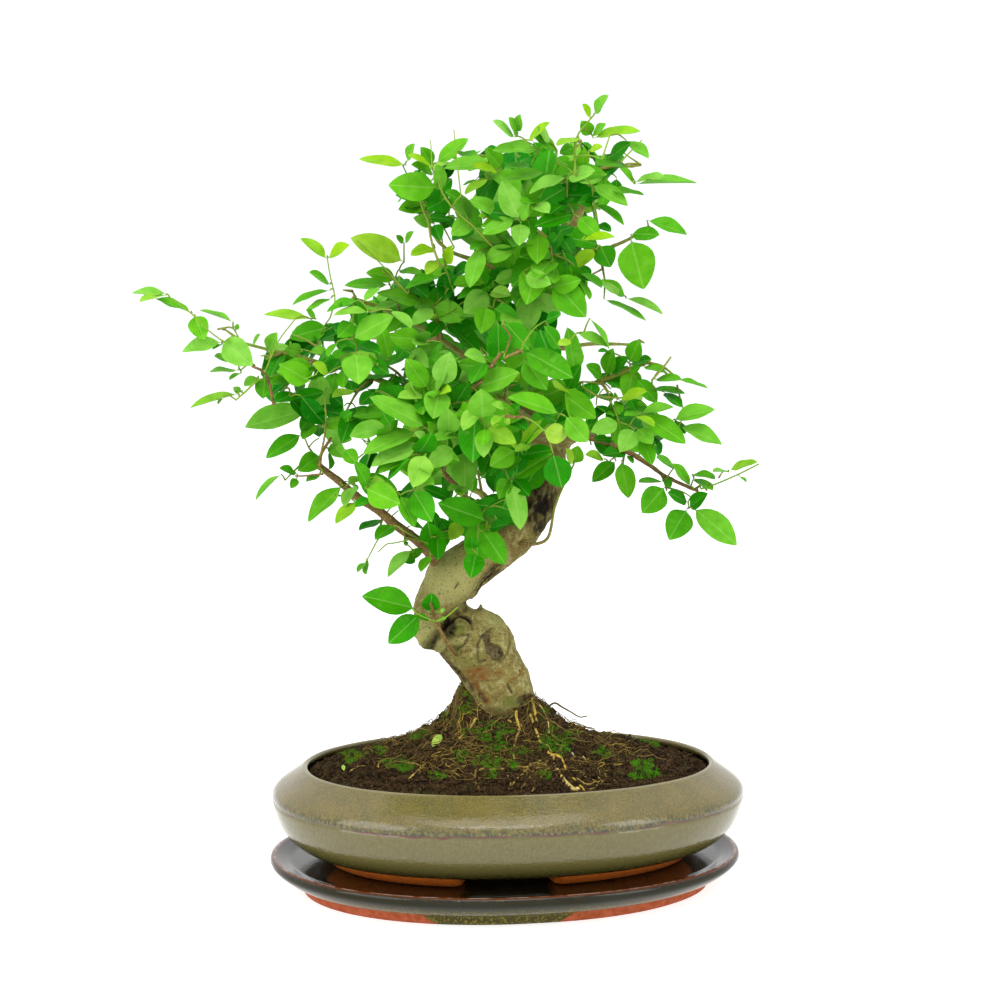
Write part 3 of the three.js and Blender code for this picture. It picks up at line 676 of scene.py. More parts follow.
def trunk_bark():
    """Smooth privet bark: pale olive-grey and dull, freckled with brown, with dark bark and painted shade
    in its clefts and hollows, a callus round dead grey wood, rusty stains and a green bloom by the soil."""
    bark = new_material("smooth_privet_bark")
    dead = coats(bark, "#6A5E42", ("#4A4028", (1.5, 0.35, 0.65, 3, (1, 1, 3))))
    colour = coats(
        bark, "#7C753E",
        ("#6C5E32", (14, 0.35, 0.65)),
        ("#908A58", (5, 0.5, 0.66)),
        ("#65542A", (2.2, 0.54, 0.68, 3, (1.6, 1.6, 1))),
        ("#98945A", "callus"),
        ("#5E502A", (1.1, 0.6, 0.7, 5, (2, 2, 1))),
        ("#382B14", (0.8, 0.62, 0.68)),
        ("#A39C68", (1.6, 0.62, 0.76, 5)),
        (dead, "dead"),
        ("#6A3E14", "rust"),
        ("#465214", "bloom"),
        # painted shade in the creases, grooves and cavity and a painted shadow down the lower left edge,
        # with the bark's own dark ridges, rough patches, freckles and peat and a darker band at its foot
        ("#160D05", "dark_bark_and_shade"))
    return finish(bark, colour, 0.78, spots(bark, 1.8, detail=6), 0.7, 0.15)


def twig_bark():
    """Young wood: tan-brown and dull, with pale pores, turning fresh green towards the tips."""
    wood = new_material("young_privet_wood")
    colour = coats(
        wood, "#7A6134",
        ("#5A4622", (4, 0.35, 0.65)),
        ("#968050", (1.2, 0.58, 0.66)),
        ("#729A26", "young"))
    return finish(wood, colour, 0.65, spots(wood, 1.5), 0.15, 0.2)


def leaf_blade():
    """Privet leaf: a thin satin blade, from deep to yellow green, with a paler midrib and underside,
    that lets some light through."""
    blade = new_material("privet_leaf_blade")
    place = put(blade, "UVMap", uv_map="UVMap")
    middle = put(blade, "Math", {0: put(blade, "SeparateXYZ", {0: place}), 1: 0.5}, operation="SUBTRACT")
    middle = put(blade, "Math", {0: middle}, operation="ABSOLUTE")
    up = put(blade, "SeparateXYZ", {0: place}, 1)
    rib = put(blade, "MapRange", {0: middle, 1: 0.035, 2: 0.005, 3: 0, 4: 0.32})
    slant = put(blade, "Math", {0: middle, 1: -1.1, 2: up}, operation="MULTIPLY_ADD")
    vein = put(blade, "Math", {0: slant, 1: 0.09}, operation="PINGPONG")
    vein = put(blade, "MapRange", {0: vein, 1: 0.02, 2: 0, 3: 0, 4: 0.1})
    tone = put(blade, "Attribute", out="Fac", attribute_name="tone")
    # the deep greens of the tone also carry painted shade for the leaves in shadow
    tone = put(blade, "ValToRGB", {0: tone}, stops=[
        (0, "#088400"), (1, "#C6DE6A"), (0.2, "#34A000"), (0.45, "#70C01C"), (0.6, "#90CE52"),
        (0.8, "#A2D010")])
    mottled = put(blade, "Mix", {0: spots(blade, 7, 0.35, 0.7), 6: tone, 7: "#D2E6B4"}, 2,
                  data_type="RGBA", blend_type="MULTIPLY")
    colour = coats(blade, mottled, ("#9AD254", vein), ("#B4DE78", rib), ("#84B44C", "under", 0.5))
    surface = put(blade, "BsdfPrincipled", {"Base Color": colour, "Roughness": 0.5,
                                            "Specular IOR Level": 0.1})
    through = put(blade, "BsdfTranslucent", {"Color": coats(blade, colour, ("#6CD400", 0.4))})
    mixed = put(blade, "MixShader", {0: 0.35, 1: surface, 2: through})
    put(blade, "OutputMaterial", {"Surface": mixed})
    return blade


def studio_paper():
    """Matt seamless paper of the floor, lit from behind so that it stays white in the shadows."""
    paper = new_material("seamless_paper")
    return finish(paper, "#BEBEBC", 0.9, **{"Emission Color": "#FFFFFF", "Emission Strength": 0.75})


# The fired pieces

def width_of(reach):
    """Half width of the fired ovals: one inset all round, down to FLOOR_REACH, then in proportion."""
    within = reach * (FLOOR_REACH - SLENDERNESS) / FLOOR_REACH
    return np.where(reach > FLOOR_REACH, reach - SLENDERNESS, within)


def soil_width_of(reach):
    """Half width of the soil's ovals, which turn into circles round the trunk."""
    return reach - SLENDERNESS * np.minimum(1, reach / SOIL_REACH) ** 2


def on_oval(angle, reach, width):
    """The point of a superellipse with two half axes that lies towards an angle."""
    ahead, away = np.cos(angle), np.sin(angle)
    bulge = (np.abs(ahead) ** OVAL_POWER + np.abs(away) ** OVAL_POWER) ** (-1 / OVAL_POWER)
    return reach * ahead * bulge, width * away * bulge


def profile_of(*stretches, step=1.9):
    """A profile of (reach, height) through stretches that meet at corners: a smooth curve through the
    points of each, in steps of about `step` millimetres."""
    parts = []
    for stretch in stretches:
        count = max(3, round(way_length(np.array(stretch, float)) / step))
        parts.append(smooth_way(stretch, count)[:-1])
    return np.concatenate([*parts, [stretches[-1][-1]]])


def oval_rings(profile, sides, widths=width_of):
    """A profile carried round the oval: one ring of points for each of its own."""
    reach = profile[:, :1]
    x, y = on_oval(turns(sides), reach, widths(reach))
    return np.stack([x, y, np.broadcast_to(profile[:, 1:], x.shape)], -1)


def uneven(shape, size, height, seed):
    """The shape with its points moved outwards and up by smooth noise, as in hand-finished clay."""
    points = shape["points"]
    outwards = unit(points * [1, 1, 0] + [1e-6, 0, 0])
    moved = points + outwards * noise(points, size, seed, 2)[:, None] * height
    return {**shape, "points": moved}


def pot_feet():
    """Four long feet: a rounded bar carried round the underside's oval, broken at the pot's front,
    back and ends, each break moved to where the photo shows it, with its own ends drawn in."""
    low, high = POT_FLOOR - FOOT_HEIGHT, POT_FLOOR + 1.5
    section = smooth_way([(104, high), (120, high + 0.3), (121, 25), (114.8, low + 0.8), (113.4, low),
                          (105, low), (98.2, low), (97.2, low + 0.8), (97, high), (104, high)], 25)[:-1]
    angle = np.linspace(0, 2 * np.pi, 721)

    def in_gap(angle):
        """Whether the oval at an angle lies in a break: near the middle of a side or of an end."""
        x, y = on_oval(angle, 106, 75)
        middle = np.abs(x - FEET_SHIFT * np.sign(y)) < FRONT_GAP
        return middle | (np.abs(y - END_SHIFT * (x < 0)) < END_GAP)

    feet = []
    for run in np.split(angle, np.flatnonzero(np.diff(in_gap(angle).astype(int))) + 1):
        if in_gap(run.mean()):
            continue
        steps = np.linspace(run[0], run[-1], 48)
        inset = np.interp(np.arange(48), [0, 1, 2, 45, 46, 47], [0.82, 0.95, 1, 1, 0.95, 0.82])
        centre = section.mean(0)
        drawn = centre + (section - centre) * inset[:, None, None]
        reach, height = drawn[..., 0], drawn[..., 1]
        x, y = on_oval(steps[:, None], reach, width_of(reach))
        rings = np.stack([x, y, height], -1)
        feet.append(skin(rings, rings[0].mean(0), rings[-1].mean(0)))
    return feet


def make_pot(material):
    """The pot: its wall's profile, down the outside and up the inside, carried round the oval, with
    four feet, two drain holes and a slightly uneven surface."""
    profile = profile_of(
        [(3, 25), (104, 25)],
        [(104, 25), (112, 24.3), (124, 25.2), (136, 30.8), (143.6, 39), (147.7, 48), (149.4, 54),
         (149.7, 56)],
        [(149.7, 56), (148.9, 56.7), (149.8, 57.7)],
        [(149.8, 57.7), (149.9, 59.2), (148, 63), (144.2, 66.6), (140, 69.6)],
        [(140, 69.6), (135, 73), (129.4, 77)],
        [(129.4, 77), (127.8, 76.3), (127.4, 74.4)],
        [(127.4, 74.4), (130, 71.6), (135.5, 68), (141, 61.5), (142.4, 53), (136, 43.5), (123, 34),
         (112, 31)],
        [(112, 31), (3, 31)],
    )
    wall = skin(oval_rings(profile, 300), (0, 0, 25), (0, 0, 31))
    raw = add_object("pot_wall", make_mesh("pot_wall", uneven(wall, 26, 0.5, 3)))
    low, high = POT_FLOOR - 3, POT_FLOOR + WALL + 3
    for x in (-HOLE_OFFSET, HOLE_OFFSET):
        rings = np.array([x, 0, 0]) + HOLE_RADIUS * circle(48) + np.array([[[0, 0, low]], [[0, 0, high]]])
        cut = raw.modifiers.new("drain_hole", "BOOLEAN")
        cut.operation = "DIFFERENCE"
        cut.solver = "EXACT"
        cut.object = add_object("drill", make_mesh("drill", skin(rings, (x, 0, low), (x, 0, high))))
    drilled, _ = read_shape(raw)
    for used in [modifier.object for modifier in raw.modifiers] + [raw]:
        bpy.data.objects.remove(used)
    feet = pot_feet()
    width = drilled["faces"].shape[1]
    for foot in feet:
        foot["faces"] = np.pad(foot["faces"], ((0, 0), (0, width - 4)), constant_values=-1)
    return make_piece("glazed_pot", join([drilled, *feet]), material, "pot_glaze", "pot")


def make_saucer(material):
    """The saucer: a shallow dish with a rolled rim, a crease inside it, a foot all round and a pad
    under its middle, as one profile carried round the oval."""
    profile = profile_of(
        [(3, 0), (26, 0)],
        [(26, 0), (30, 9)],
        [(30, 9), (118, 9)],
        [(118, 9), (122, 0)],
        [(122, 0), (130, 0)],
        [(130, 0), (130.6, 0.6), (131.6, 5)],
        [(131.6, 5), (139, 8.2), (145.6, 12.8), (149.4, 16.4), (150, 18.2)],
        [(150, 18.2), (149.7, 20), (148.4, 21), (146.8, 20.9), (145, 20.3)],
        [(145, 20.3), (142, 19.3), (139.2, 18.6)],
        [(139.2, 18.6), (138, 17.7), (135, 17.5)],
        [(135, 17.5), (3, 17.5)],
    )
    shape = uneven(skin(oval_rings(profile, 300), (0, 0, 0), (0, 0, 17.5)), 30, 0.4, 5)
    shape["points"] = shape["points"] * [SAUCER_SHRINK, 1, 1] - [SAUCER_SHIFT, 0, 0]
    return make_piece("glazed_saucer", shape, material, "saucer_glaze", "saucer")


# The soil and what grows on it

MOUND_REACH = MOUND[0][0]
MOUND_LINE = smooth_way(MOUND[::-1], 200)
HEAP_TOP = seen([(465, 700, -3)])[0]
CLUMP_TOP = seen([(533, 708, -12)])[0]


def mound_rise(reach):
    """Height of the soil at a reach: a smooth curve through the mound's profile."""
    return np.interp(reach, *MOUND_LINE.T)


def mound_shift(reach):
    """How far the soil's ovals are moved towards the mound's top."""
    return -MOUND_SHIFT * (1 - np.asarray(reach) / MOUND_REACH)


def soil_reach(x, y):
    """The reach of the soil's oval that passes through a place, by halving the span it lies in."""
    low = np.zeros_like(x) + 0.01
    high = low + 200
    for _ in range(24):
        middle = (low + high) / 2
        across = np.abs(x - mound_shift(middle)) / middle
        away = np.abs(y) / soil_width_of(middle)
        outside = across ** OVAL_POWER + away ** OVAL_POWER > 1
        low = np.where(outside, middle, low)
        high = np.where(outside, high, middle)
    return low


def soil_lumps(points):
    """How far the peat stands out of its smooth mound, in lumps and crumbs, and in the heap that it
    makes against the trunk's left side and the clump at its right foot."""
    heap = np.linalg.norm((points - HEAP_TOP)[..., :2], axis=-1)
    clump = np.linalg.norm((points - CLUMP_TOP)[..., :2], axis=-1)
    lumps = 2.4 * noise(points, 16, 11) + 2.0 * noise(points, 5.5, 12) + 0.9 * noise(points, 2.2, 13, 1)
    return lumps + 14 * np.exp(-(heap / 8) ** 2) + 9 * np.exp(-(clump / 8.5) ** 2)


def on_mound(angle, reach, lift=0.0):
    """Points on the lumpy soil towards an angle, at a reach, `lift` above it."""
    x, y = on_oval(angle, reach, soil_width_of(reach))
    points = np.stack([x + mound_shift(reach), y, mound_rise(reach)], -1)
    calm = ramp(128, 118, reach)
    return points + np.stack([0 * x, 0 * x, calm * soil_lumps(points) + lift], -1)


def on_soil(places, lift=0.0):
    """Points on the soil that the picture shows at places of (across, down): the first point of the
    line of sight that lies under the soil's surface."""
    depths = np.arange(-130, 150, 0.5)
    hits = []
    for across, down in np.asarray(places, float):
        line = seen(np.stack([0 * depths + across, 0 * depths + down, depths], -1))
        reach = soil_reach(line[:, 0], line[:, 1])
        over = line[:, 2] - mound_rise(reach)
        under = np.where(reach < MOUND_REACH, over, line[:, 2] + 1) < 0
        hits.append(line[np.argmax(under) if under.any() else np.argmin(np.abs(over))])
    hits = np.array(hits)
    hits[:, 2] += soil_lumps(hits) + lift
    return hits


# Moss as ellipses in the picture: across, down, half width, half height, and how yellow it is
MOSS_PATCHES = [
    (472, 698, 5, 5, 0.1), (418, 735, 13, 7, 0.6), (404, 766, 8, 6, 0.2), (492, 731, 20, 9, 0.1),
    (499, 747, 13, 6, 0.2), (519, 752, 12, 4, 0.3), (490, 763, 13, 7, 0.4), (492, 776, 5, 4, 0.2),
    (461, 757, 8, 6, 0.4), (558, 746, 17, 11, 0.1), (551, 730, 6, 5, 0.5), (603, 756, 10, 6, 0.3),
    (642, 771, 16, 9, 0.1), (352, 758, 12, 6, 0.9), (391, 764, 8, 5, 0.4), (436, 776, 8, 5, 0.8),
    (447, 718, 4, 5, 0.5), (545, 712, 5, 4, 0.9), (466, 709, 7, 6, 0.7), (571, 735, 7, 4, 0.4),
    (545, 776, 7, 5, 0.7), (512, 768, 6, 5, 0.8), (468, 732, 6, 5, 0.9), (380, 752, 8, 4, 0.9),
    (463, 692, 5, 9, 0.8),
]

# Roots on the mound: radius at each end, tone from dark to white, and the way through the picture
MOUND_ROOTS = [
    (0.9, 0.8, 0.66, [(530, 724), (535, 733), (541, 744), (551, 752), (555, 761)]),
    (1.0, 1.4, 0.85, [(554, 760), (558, 771), (564, 781), (571, 788), (579, 791)]),
    (1.0, 0.9, 0.78, [(516, 714), (517, 724), (518, 733)]),
    (0.8, 0.7, 0.6, [(521, 729), (514, 746), (514, 762)]),
    (1.0, 0.8, 0.7, [(531, 715), (534, 722), (537, 730)]),
    (0.8, 0.6, 0.85, [(539, 715), (545, 721), (548, 729), (549, 738)]),
    (0.9, 0.8, 0.66, [(477, 721), (468, 730), (459, 741)]),
    (0.7, 0.5, 0.7, [(505, 710), (506, 719), (511, 725)]),
    (0.9, 0.6, 0.62, [(479, 772), (497, 769), (510, 769), (520, 766), (531, 765)]),
    (0.9, 0.7, 0.4, [(478, 765), (475, 778), (477, 787), (480, 794)]),
    (0.7, 0.5, 0.7, [(409, 782), (418, 773), (429, 764)]),
    (0.6, 0.5, 0.5, [(418, 752), (425, 746), (431, 740)]),
    (0.5, 0.4, 1.0, [(568, 750), (573, 757), (575, 766)]),
    (0.6, 0.4, 0.85, [(582, 756), (590, 767), (601, 778)]),
    (0.7, 0.5, 0.75, [(562, 759), (567, 772), (576, 782), (585, 792)]),
    (1.1, 0.8, 0.78, [(547, 753), (556, 757), (566, 761)]),
    (0.6, 0.4, 0.62, [(577, 779), (587, 785), (599, 783), (611, 786), (622, 785)]),
    (0.5, 0.4, 0.66, [(584, 777), (596, 781), (606, 780), (615, 783)]),
    (0.5, 0.4, 0.6, [(590, 790), (600, 785), (608, 778), (604, 772)]),
    (0.5, 0.4, 0.5, [(376, 753), (386, 748)]),
    (0.6, 0.4, 0.68, [(350, 774), (362, 767), (372, 764)]),
    (0.6, 0.4, 0.7, [(409, 781), (420, 773), (426, 765)]),
    (0.5, 0.4, 0.72, [(378, 768), (379, 764), (383, 761)]),
    (0.7, 0.5, 0.55, [(500, 757), (508, 764), (512, 772)]),
    (0.7, 0.5, 0.45, [(548, 760), (538, 768), (528, 780), (521, 790)]),
    (0.6, 0.5, 0.6, [(556, 766), (546, 772), (536, 784), (532, 792)]),
    (0.6, 0.4, 0.55, [(507, 776), (512, 782), (509, 790)]),
    (0.7, 0.5, 0.6, [(541, 760), (530, 764), (524, 772), (512, 788)]),
]
FREE_ROOT = [(545, 709, 4), (549, 706, 2), (555, 703, 0), (562, 707, -2), (571, 712, -3), (580, 717, -4),
             (587, 716, -4)]
FALLEN_LEAVES = [((442, 737), (432, 751), 5.2, 1), ((343, 769), (344, 775), 2.5, 0.95)]


def make_soil(material):
    """The peat: the pot's inside profile below, and above it the mound with lumps and crumbs."""
    below = np.array([(60, 31.3), (111.6, 31.3), (122.4, 34.3), (135.4, 43.8), (141.6, 53.1),
                      (141, 63.9), (133.6, 69.6), (126.8, 70.8)])
    under = oval_rings(below, 400, soil_width_of)
    reach = np.concatenate([np.linspace(126.6, 60, 70), np.linspace(59, 4, 90)])[:, None]
    top = on_mound(turns(400), reach + np.zeros(400))
    shape = skin(np.concatenate([under, top]), (0, 0, 31.3), top[-1].mean(0))
    points = shape["points"]
    bloom = 0.4 * ramp(84, 100, points[:, 2]) * ramp(-0.1, 0.5, noise(points, 9, 21))
    bloom += 0.6 * ramp(0.05, 0.5, noise(points, 12, 22))
    return make_piece("peat_mound", with_values(shape, bloom=bloom), material, "peat", "soil")


def crumb_shape():
    """A crumb: a ring of five points and two more that close it, of about unit radius."""
    ring = circle(5) + np.array([0, 0, 0.1]) * np.cos(2 * turns(5))[:, None]
    return skin(ring[None], (0, 0, -0.8), (0, 0, 0.8))


def copies(shape, places, frames, sizes):
    """Copies of a small shape, each turned by its own three vectors, sized and put in its place."""
    points = np.einsum("pk,nkx->npx", shape["points"], frames) * sizes[:, None, None] + places[:, None]
    steps = len(shape["points"]) * np.arange(len(places))[:, None, None]
    faces = np.where(shape["faces"] >= 0, shape["faces"] + steps, -1)
    return {"points": points.reshape(-1, 3), "faces": faces.reshape(-1, 4)}


def random_turns(rng, count):
    """Random sets of three right-angled directions."""
    first = unit(rng.normal(size=(count, 3)))
    second = unit(np.cross(first, rng.normal(size=(count, 3))))
    return np.stack([first, second, np.cross(first, second)], 1)


def make_crumbs(material, rng):
    """Loose crumbs and fibres of peat on the mound."""
    angle = rng.uniform(0, 2 * np.pi, CRUMBS)
    reach = 124 * np.sqrt(rng.uniform(0.05, 1, CRUMBS))
    places = on_mound(angle, reach, rng.uniform(-0.2, 0.5, CRUMBS))
    sizes = rng.uniform(0.5, 1.7, CRUMBS) * rng.choice([1, 1, 1.5, 2.1], CRUMBS)
    frames = random_turns(rng, CRUMBS) * rng.uniform(0.5, 1.3, (CRUMBS, 3, 1))
    shape = copies(crumb_shape(), places, frames, sizes)
    return make_piece("peat_crumbs", with_values(shape, bloom=0), material, "peat", "soil")


def tuft_shape(rng):
    """A moss shoot: five narrow leaflets that lean out of one foot, each a thin three-sided spike."""
    spikes = []
    for out in circle(5):
        tip = out * rng.uniform(0.4, 0.8) + [0, 0, rng.uniform(0.7, 1.2)]
        ring = circle(3) * 0.16 + out * 0.1
        spikes.append(with_values(skin(ring[None], -0.2 * out - [0, 0, 0.2], tip), tip=[0, 0, 0, 0, 1]))
    return join(spikes)


def make_moss(material, rng):
    """Moss: shoots set close together on the soil wherever a random place falls in a patch."""
    angle = rng.uniform(0, 2 * np.pi, MOSS_PLACES)
    reach = 123 * np.sqrt(rng.uniform(0.02, 1, MOSS_PLACES))
    places = on_mound(angle, reach)
    in_view = picture(places)
    front = (places @ EYE_BACK) > -34
    patch_of = np.full(len(places), -1)
    for number, (across, down, half_width, half_height, _) in enumerate(MOSS_PATCHES):
        gap = np.hypot((in_view[:, 0] - across) / half_width, (in_view[:, 1] - down) / half_height)
        ragged = gap + 0.8 * noise(places, 5, 31 + number)
        patch_of = np.where((ragged < 1) & front & (patch_of < 0), number, patch_of)
    behind = ~front & (noise(places, 20, 30) > 0.3) & (reach < 116)
    yellow = np.array([patch[4] for patch in MOSS_PATCHES] + [0.35])
    grown = (patch_of >= 0) | behind
    grown &= rng.uniform(size=len(places)) < 0.45
    places, tone = places[grown], yellow[patch_of[grown]]
    count = len(places)
    tuft = tuft_shape(rng)
    frames = random_turns(rng, count)
    frames[:, 2] = unit(frames[:, 2] * 0.5 + [0, 0, 1])
    frames[:, 0] = unit(np.cross(frames[:, 1], frames[:, 2]))
    frames[:, 1] = np.cross(frames[:, 2], frames[:, 0])
    shape = copies(tuft, places, frames, rng.uniform(1.2, 2.6, count))
    each = len(tuft["tip"])
    shape["tip"] = np.tile(tuft["tip"], count) * rng.uniform(0.6, 1, count).repeat(each)
    shape["tone"] = (tone * rng.uniform(0.4, 1, count)).repeat(each)
    return make_piece("living_moss", shape, material, "moss", "moss_left", "moss_right", "moss_edge")


def make_rootlets(material, rng):
    """Fibrous rootlets that hang down the mound from the trunk's foot, wandering as they go, and the
    thicker roots that run over the soil."""
    parts = []
    steps = np.linspace(0, 1, 9)
    for _ in range(ROOTLETS):
        start = rng.uniform(0, 2 * np.pi)
        near = rng.uniform(20, 85)
        far = near + rng.uniform(5, 22)
        swing = np.cumsum(rng.normal(0, 0.075, 9)) + rng.normal(0, 0.4) * steps
        angle = start + swing * 30 / near
        lift = 0.5 + 1.3 * np.sin(np.pi * steps) * 3.5 * rng.uniform(0, 1) ** 3
        way = on_mound(angle, near + (far - near) * steps, lift)
        radius = np.linspace(rng.uniform(0.18, 0.38), 0.14, 9)
        tone = rng.choice([0.1, 0.3, 0.42, 0.55, 0.7], p=[0.2, 0.26, 0.26, 0.2, 0.08])
        parts.append(with_values(tube(way, radius, 4), tone=tone + rng.uniform(-0.05, 0.05)))
    for thick, thin, tone, places in MOUND_ROOTS:
        count = 6 * len(places)
        way = smooth_way(on_soil(smooth_way(places, 2 * len(places)), 0.4), count)
        way = way + np.stack([noise(way, 5, 41), noise(way, 5, 42), 0 * way[:, 0]], -1) * 0.8
        parts.append(with_values(tube(way, np.linspace(thick, thin, count), 7, 0.12), tone=tone))
    free = smooth_way(seen(FREE_ROOT), 40)
    parts.append(with_values(tube(free, np.linspace(0.7, 0.4, 40), 6, 0.1), tone=0.3))
    return make_piece("fibrous_roots", join(parts), material, "bark", "trunk")


def make_fallen_leaf(material, rng):
    """A small pale leaf that lies on the mound, and a yellow scrap of another by the pot's wall."""
    leaves = []
    for start, end, width, tone in FALLEN_LEAVES:
        base, tip = on_soil([start, end], 2.2)
        up = unit(EYE_BACK + [0, 0, 0.6])
        leaf = new_leaf(base, unit(tip - base), up, np.linalg.norm(tip - base), 0, rng)
        leaf.update(width=width, fold=0.1, droop=0, tone=tone)
        leaves.append(leaf)
    return make_piece("fallen_leaves", leaf_blades(leaves), material, "leaf", "spray_low_left_inner")


def make_hidden_roots(material):
    """Thicker surface roots that run down the sides and back of the mound."""
    parts = []
    for heading, reach, thick, thin in HIDDEN_ROOTS:
        far = np.linspace(12, reach, 36)
        angle = np.radians(heading) + 0.12 * np.sin(far / 9 + heading)
        way = on_mound(angle, far, -2.5 if heading > 0 else -4.6)
        way[:, 2] -= ramp(26, 12, far) * 6
        parts.append(with_values(tube(way, np.linspace(thick, thin, 36), 12, 0.5), tone=0.2))
    return make_piece("surface_roots", join(parts), material, "bark", "trunk")


# The wood

def limb_way(name, count):
    """A limb's smooth way, in `count` even steps."""
    return smooth_way(seen(LIMBS[name][1]), count)


def near_line(places, line, width):
    """1 on a broken line in the picture, falling to 0 at `width` pixels from it."""
    line = np.asarray(line, float)
    nearest = np.full(len(places), 1e9)
    for start, end in zip(line[:-1], line[1:]):
        step = end - start
        share = np.clip(((places - start) @ step) / (step @ step), 0, 1)
        gap = np.linalg.norm(places - start - share[:, None] * step, axis=1)
        nearest = np.minimum(nearest, gap)
    return ramp(width, 0, nearest)


def near_spot(places, centre, half, soft=0.5):
    """1 inside an ellipse in the picture, falling to 0 outside its edge."""
    gap = np.linalg.norm((places - np.array(centre)) / np.array(half), axis=1)
    return ramp(1 + soft / 2, 1 - soft / 2, gap)


def trunk_relief(points, normals):
    """Height and finish of the bark at each point: lumps and wrinkles all over, and the marks that the
    front shows, laid on from the front."""
    view = picture(points)
    flat = view[:, :2]
    at = flat + np.stack([noise(points, 4, 51), noise(points, 4, 52)], -1)
    facing = normals @ EYE_BACK
    front = ramp(0.05, 0.35, facing)

    def line(width, *places):
        """A mark along a broken line, fading out at `width` pixels from it."""
        return front * near_line(at, places, width)

    def spot(centre, half, soft=0.5):
        """A mark that fills an ellipse."""
        return front * near_spot(at, centre, half, soft)

    grain = noise(points * [1, 1, 0.35], 2.2, 56)
    low_trunk = ramp(590, 612, view[:, 1])
    height = 0.9 * noise(points, 15, 53) + 0.35 * noise(points, 4, 54) + 0.22 * noise(points, 1.6, 55)
    height += 0.5 * low_trunk * noise(points * [1, 1, 1.6], 3, 65)

    # what the outline shows: a bulge under the fold, a fuller shoulder, a slimmer bend
    lateral = normals @ EYE_RIGHT
    under = ramp(0.2, -0.2, normals[:, 2])
    for more, centre, half, soft, share in (
        (6.5, (422, 637), (13, 17), 1.2, ramp(0, 0.8, -lateral)),
        (2.4, (471, 597), (12, 10), 1.2, ramp(0, 0.8, lateral) * under),
        (-3.2, (473, 603), (8, 7), 1.2, ramp(0.1, 0.6, normals[:, 2])),
        (4.5, (508, 622), (14, 20), 1.4, ramp(0, 0.9, lateral)),
        (-2.4, (420, 588), (14, 20), 1.2, ramp(0, 0.8, -lateral)),
    ):
        height += more * near_spot(flat, centre, half, soft) * share

    # the healed scar: a pale ring of callus round sunken dead wood
    gap = np.linalg.norm((at - np.array([493, 647.5])) / [15, 17.5], axis=1)
    callus = front * ramp(1.05, 0.9, gap)
    patch = np.maximum(line(4.4, (485.5, 637), (487.5, 644), (490, 650)),
                       line(8, (490.5, 649), (495, 651.5), (496, 655)))
    dead = ramp(0.24, 0.36, patch)
    lip = ramp(0.02, 0.24, patch) - dead
    brink = ramp(0.12, 0.24, patch) * ramp(0.46, 0.3, patch)
    left_arc = line(1.7, (491, 628), (482, 636), (478, 645), (477, 655), (479, 662), (485, 661))
    right_arc = line(1.6, (504, 636), (507.5, 644), (507, 653), (501, 661), (494, 664))
    height += 0.9 * callus + 0.8 * lip - 2.2 * dead - 0.8 * left_arc - 0.5 * right_arc
    height -= 0.5 * line(1.2, (484, 660), (487, 656), (491, 661), (497, 662))

    # the fold under the upper bend: a hollow with painted shade, a mossy knob and paler lumps round it
    crease = line(6, (466, 606), (456, 613), (446, 621), (437, 633), (433, 648))
    hollow = spot((448, 627), (8, 13))
    brow = line(2.6, (452, 619), (459, 616), (466, 618), (470, 623))
    knob = spot((461, 628.5), (8, 7.5))
    chin = spot((457, 641), (8, 5.5), 0.6)
    bump = spot((440.5, 646), (6, 6), 0.6)
    rings = (line(1.8, (457, 616), (465, 616.5), (471, 621), (472, 629))
             + line(2, (469, 636), (463, 645), (457, 650))
             + line(1.6, (450, 634), (458, 636.5), (468, 635)))
    height += 1.6 * line(3, (458, 613), (466, 614), (472, 619)) - 1.5 * brow
    height += -3.6 * crease - 4.2 * hollow + 2.0 * knob + 1.8 * chin + 1.6 * bump - 1.2 * rings
    height += (knob + chin + bump + 0.7 * hollow) * 0.9 * noise(points, 3, 64)

    # rough dark bark: along the right edge above the fold, and inside the upper bend round a cavity with
    # painted shade
    dark_bark_and_shade = line(9, (497, 567), (484, 582), (470, 600))
    rough = near_spot(at, (543, 507), (19, 30), 0.4) * ramp(-0.2, 0.2, facing)
    pit = spot((544, 507), (7, 8), 0.8)
    ridged = 0.5 + 0.5 * np.sin(2.1 * (at @ np.array([0.72, 0.69])) + 3 * grain)
    height += -2.0 * dark_bark_and_shade * ridged - 1.4 * rough * ramp(-0.3, 0.3, grain) - 2.5 * pit
    crack = line(1.8, (507.5, 684), (510, 689), (512, 693))
    slit = line(1.2, (458, 583), (455, 588))
    spike = near_spot(flat, (480.5, 604), (2.6, 3.5), 1) * front * ramp(0, 12, 612 - view[:, 1])
    folds = line(2, (489, 705), (509, 700), (527, 696))
    peaty = spot((530, 704), (14, 10), 0.6)
    height += 1.5 * peaty * noise(points, 4, 66) + 1.6 * spike - 1.2 * crack - 0.8 * slit - 0.6 * folds

    # what the colour shows: rusty stains, green bloom, the bark's own dark, and painted shade in its
    # creases, grooves and cavity, with a painted shadow down the lower left edge
    rust = spot((477, 674), (14, 6), 1.2) + 0.4 * spot((498, 672), (10, 4), 1)
    rust += 0.8 * line(5, (474, 683), (481, 692), (488, 701))
    rust = 1.3 * rust * ramp(-0.8, 0.4, noise(points, 3, 57)) * (0.8 + 0.5 * grain)
    rust += 0.8 * line(1.6, (523, 666), (521, 673), (516, 677), (509, 681))
    rust += 0.5 * line(4, (489, 710), (500, 714), (515, 710))
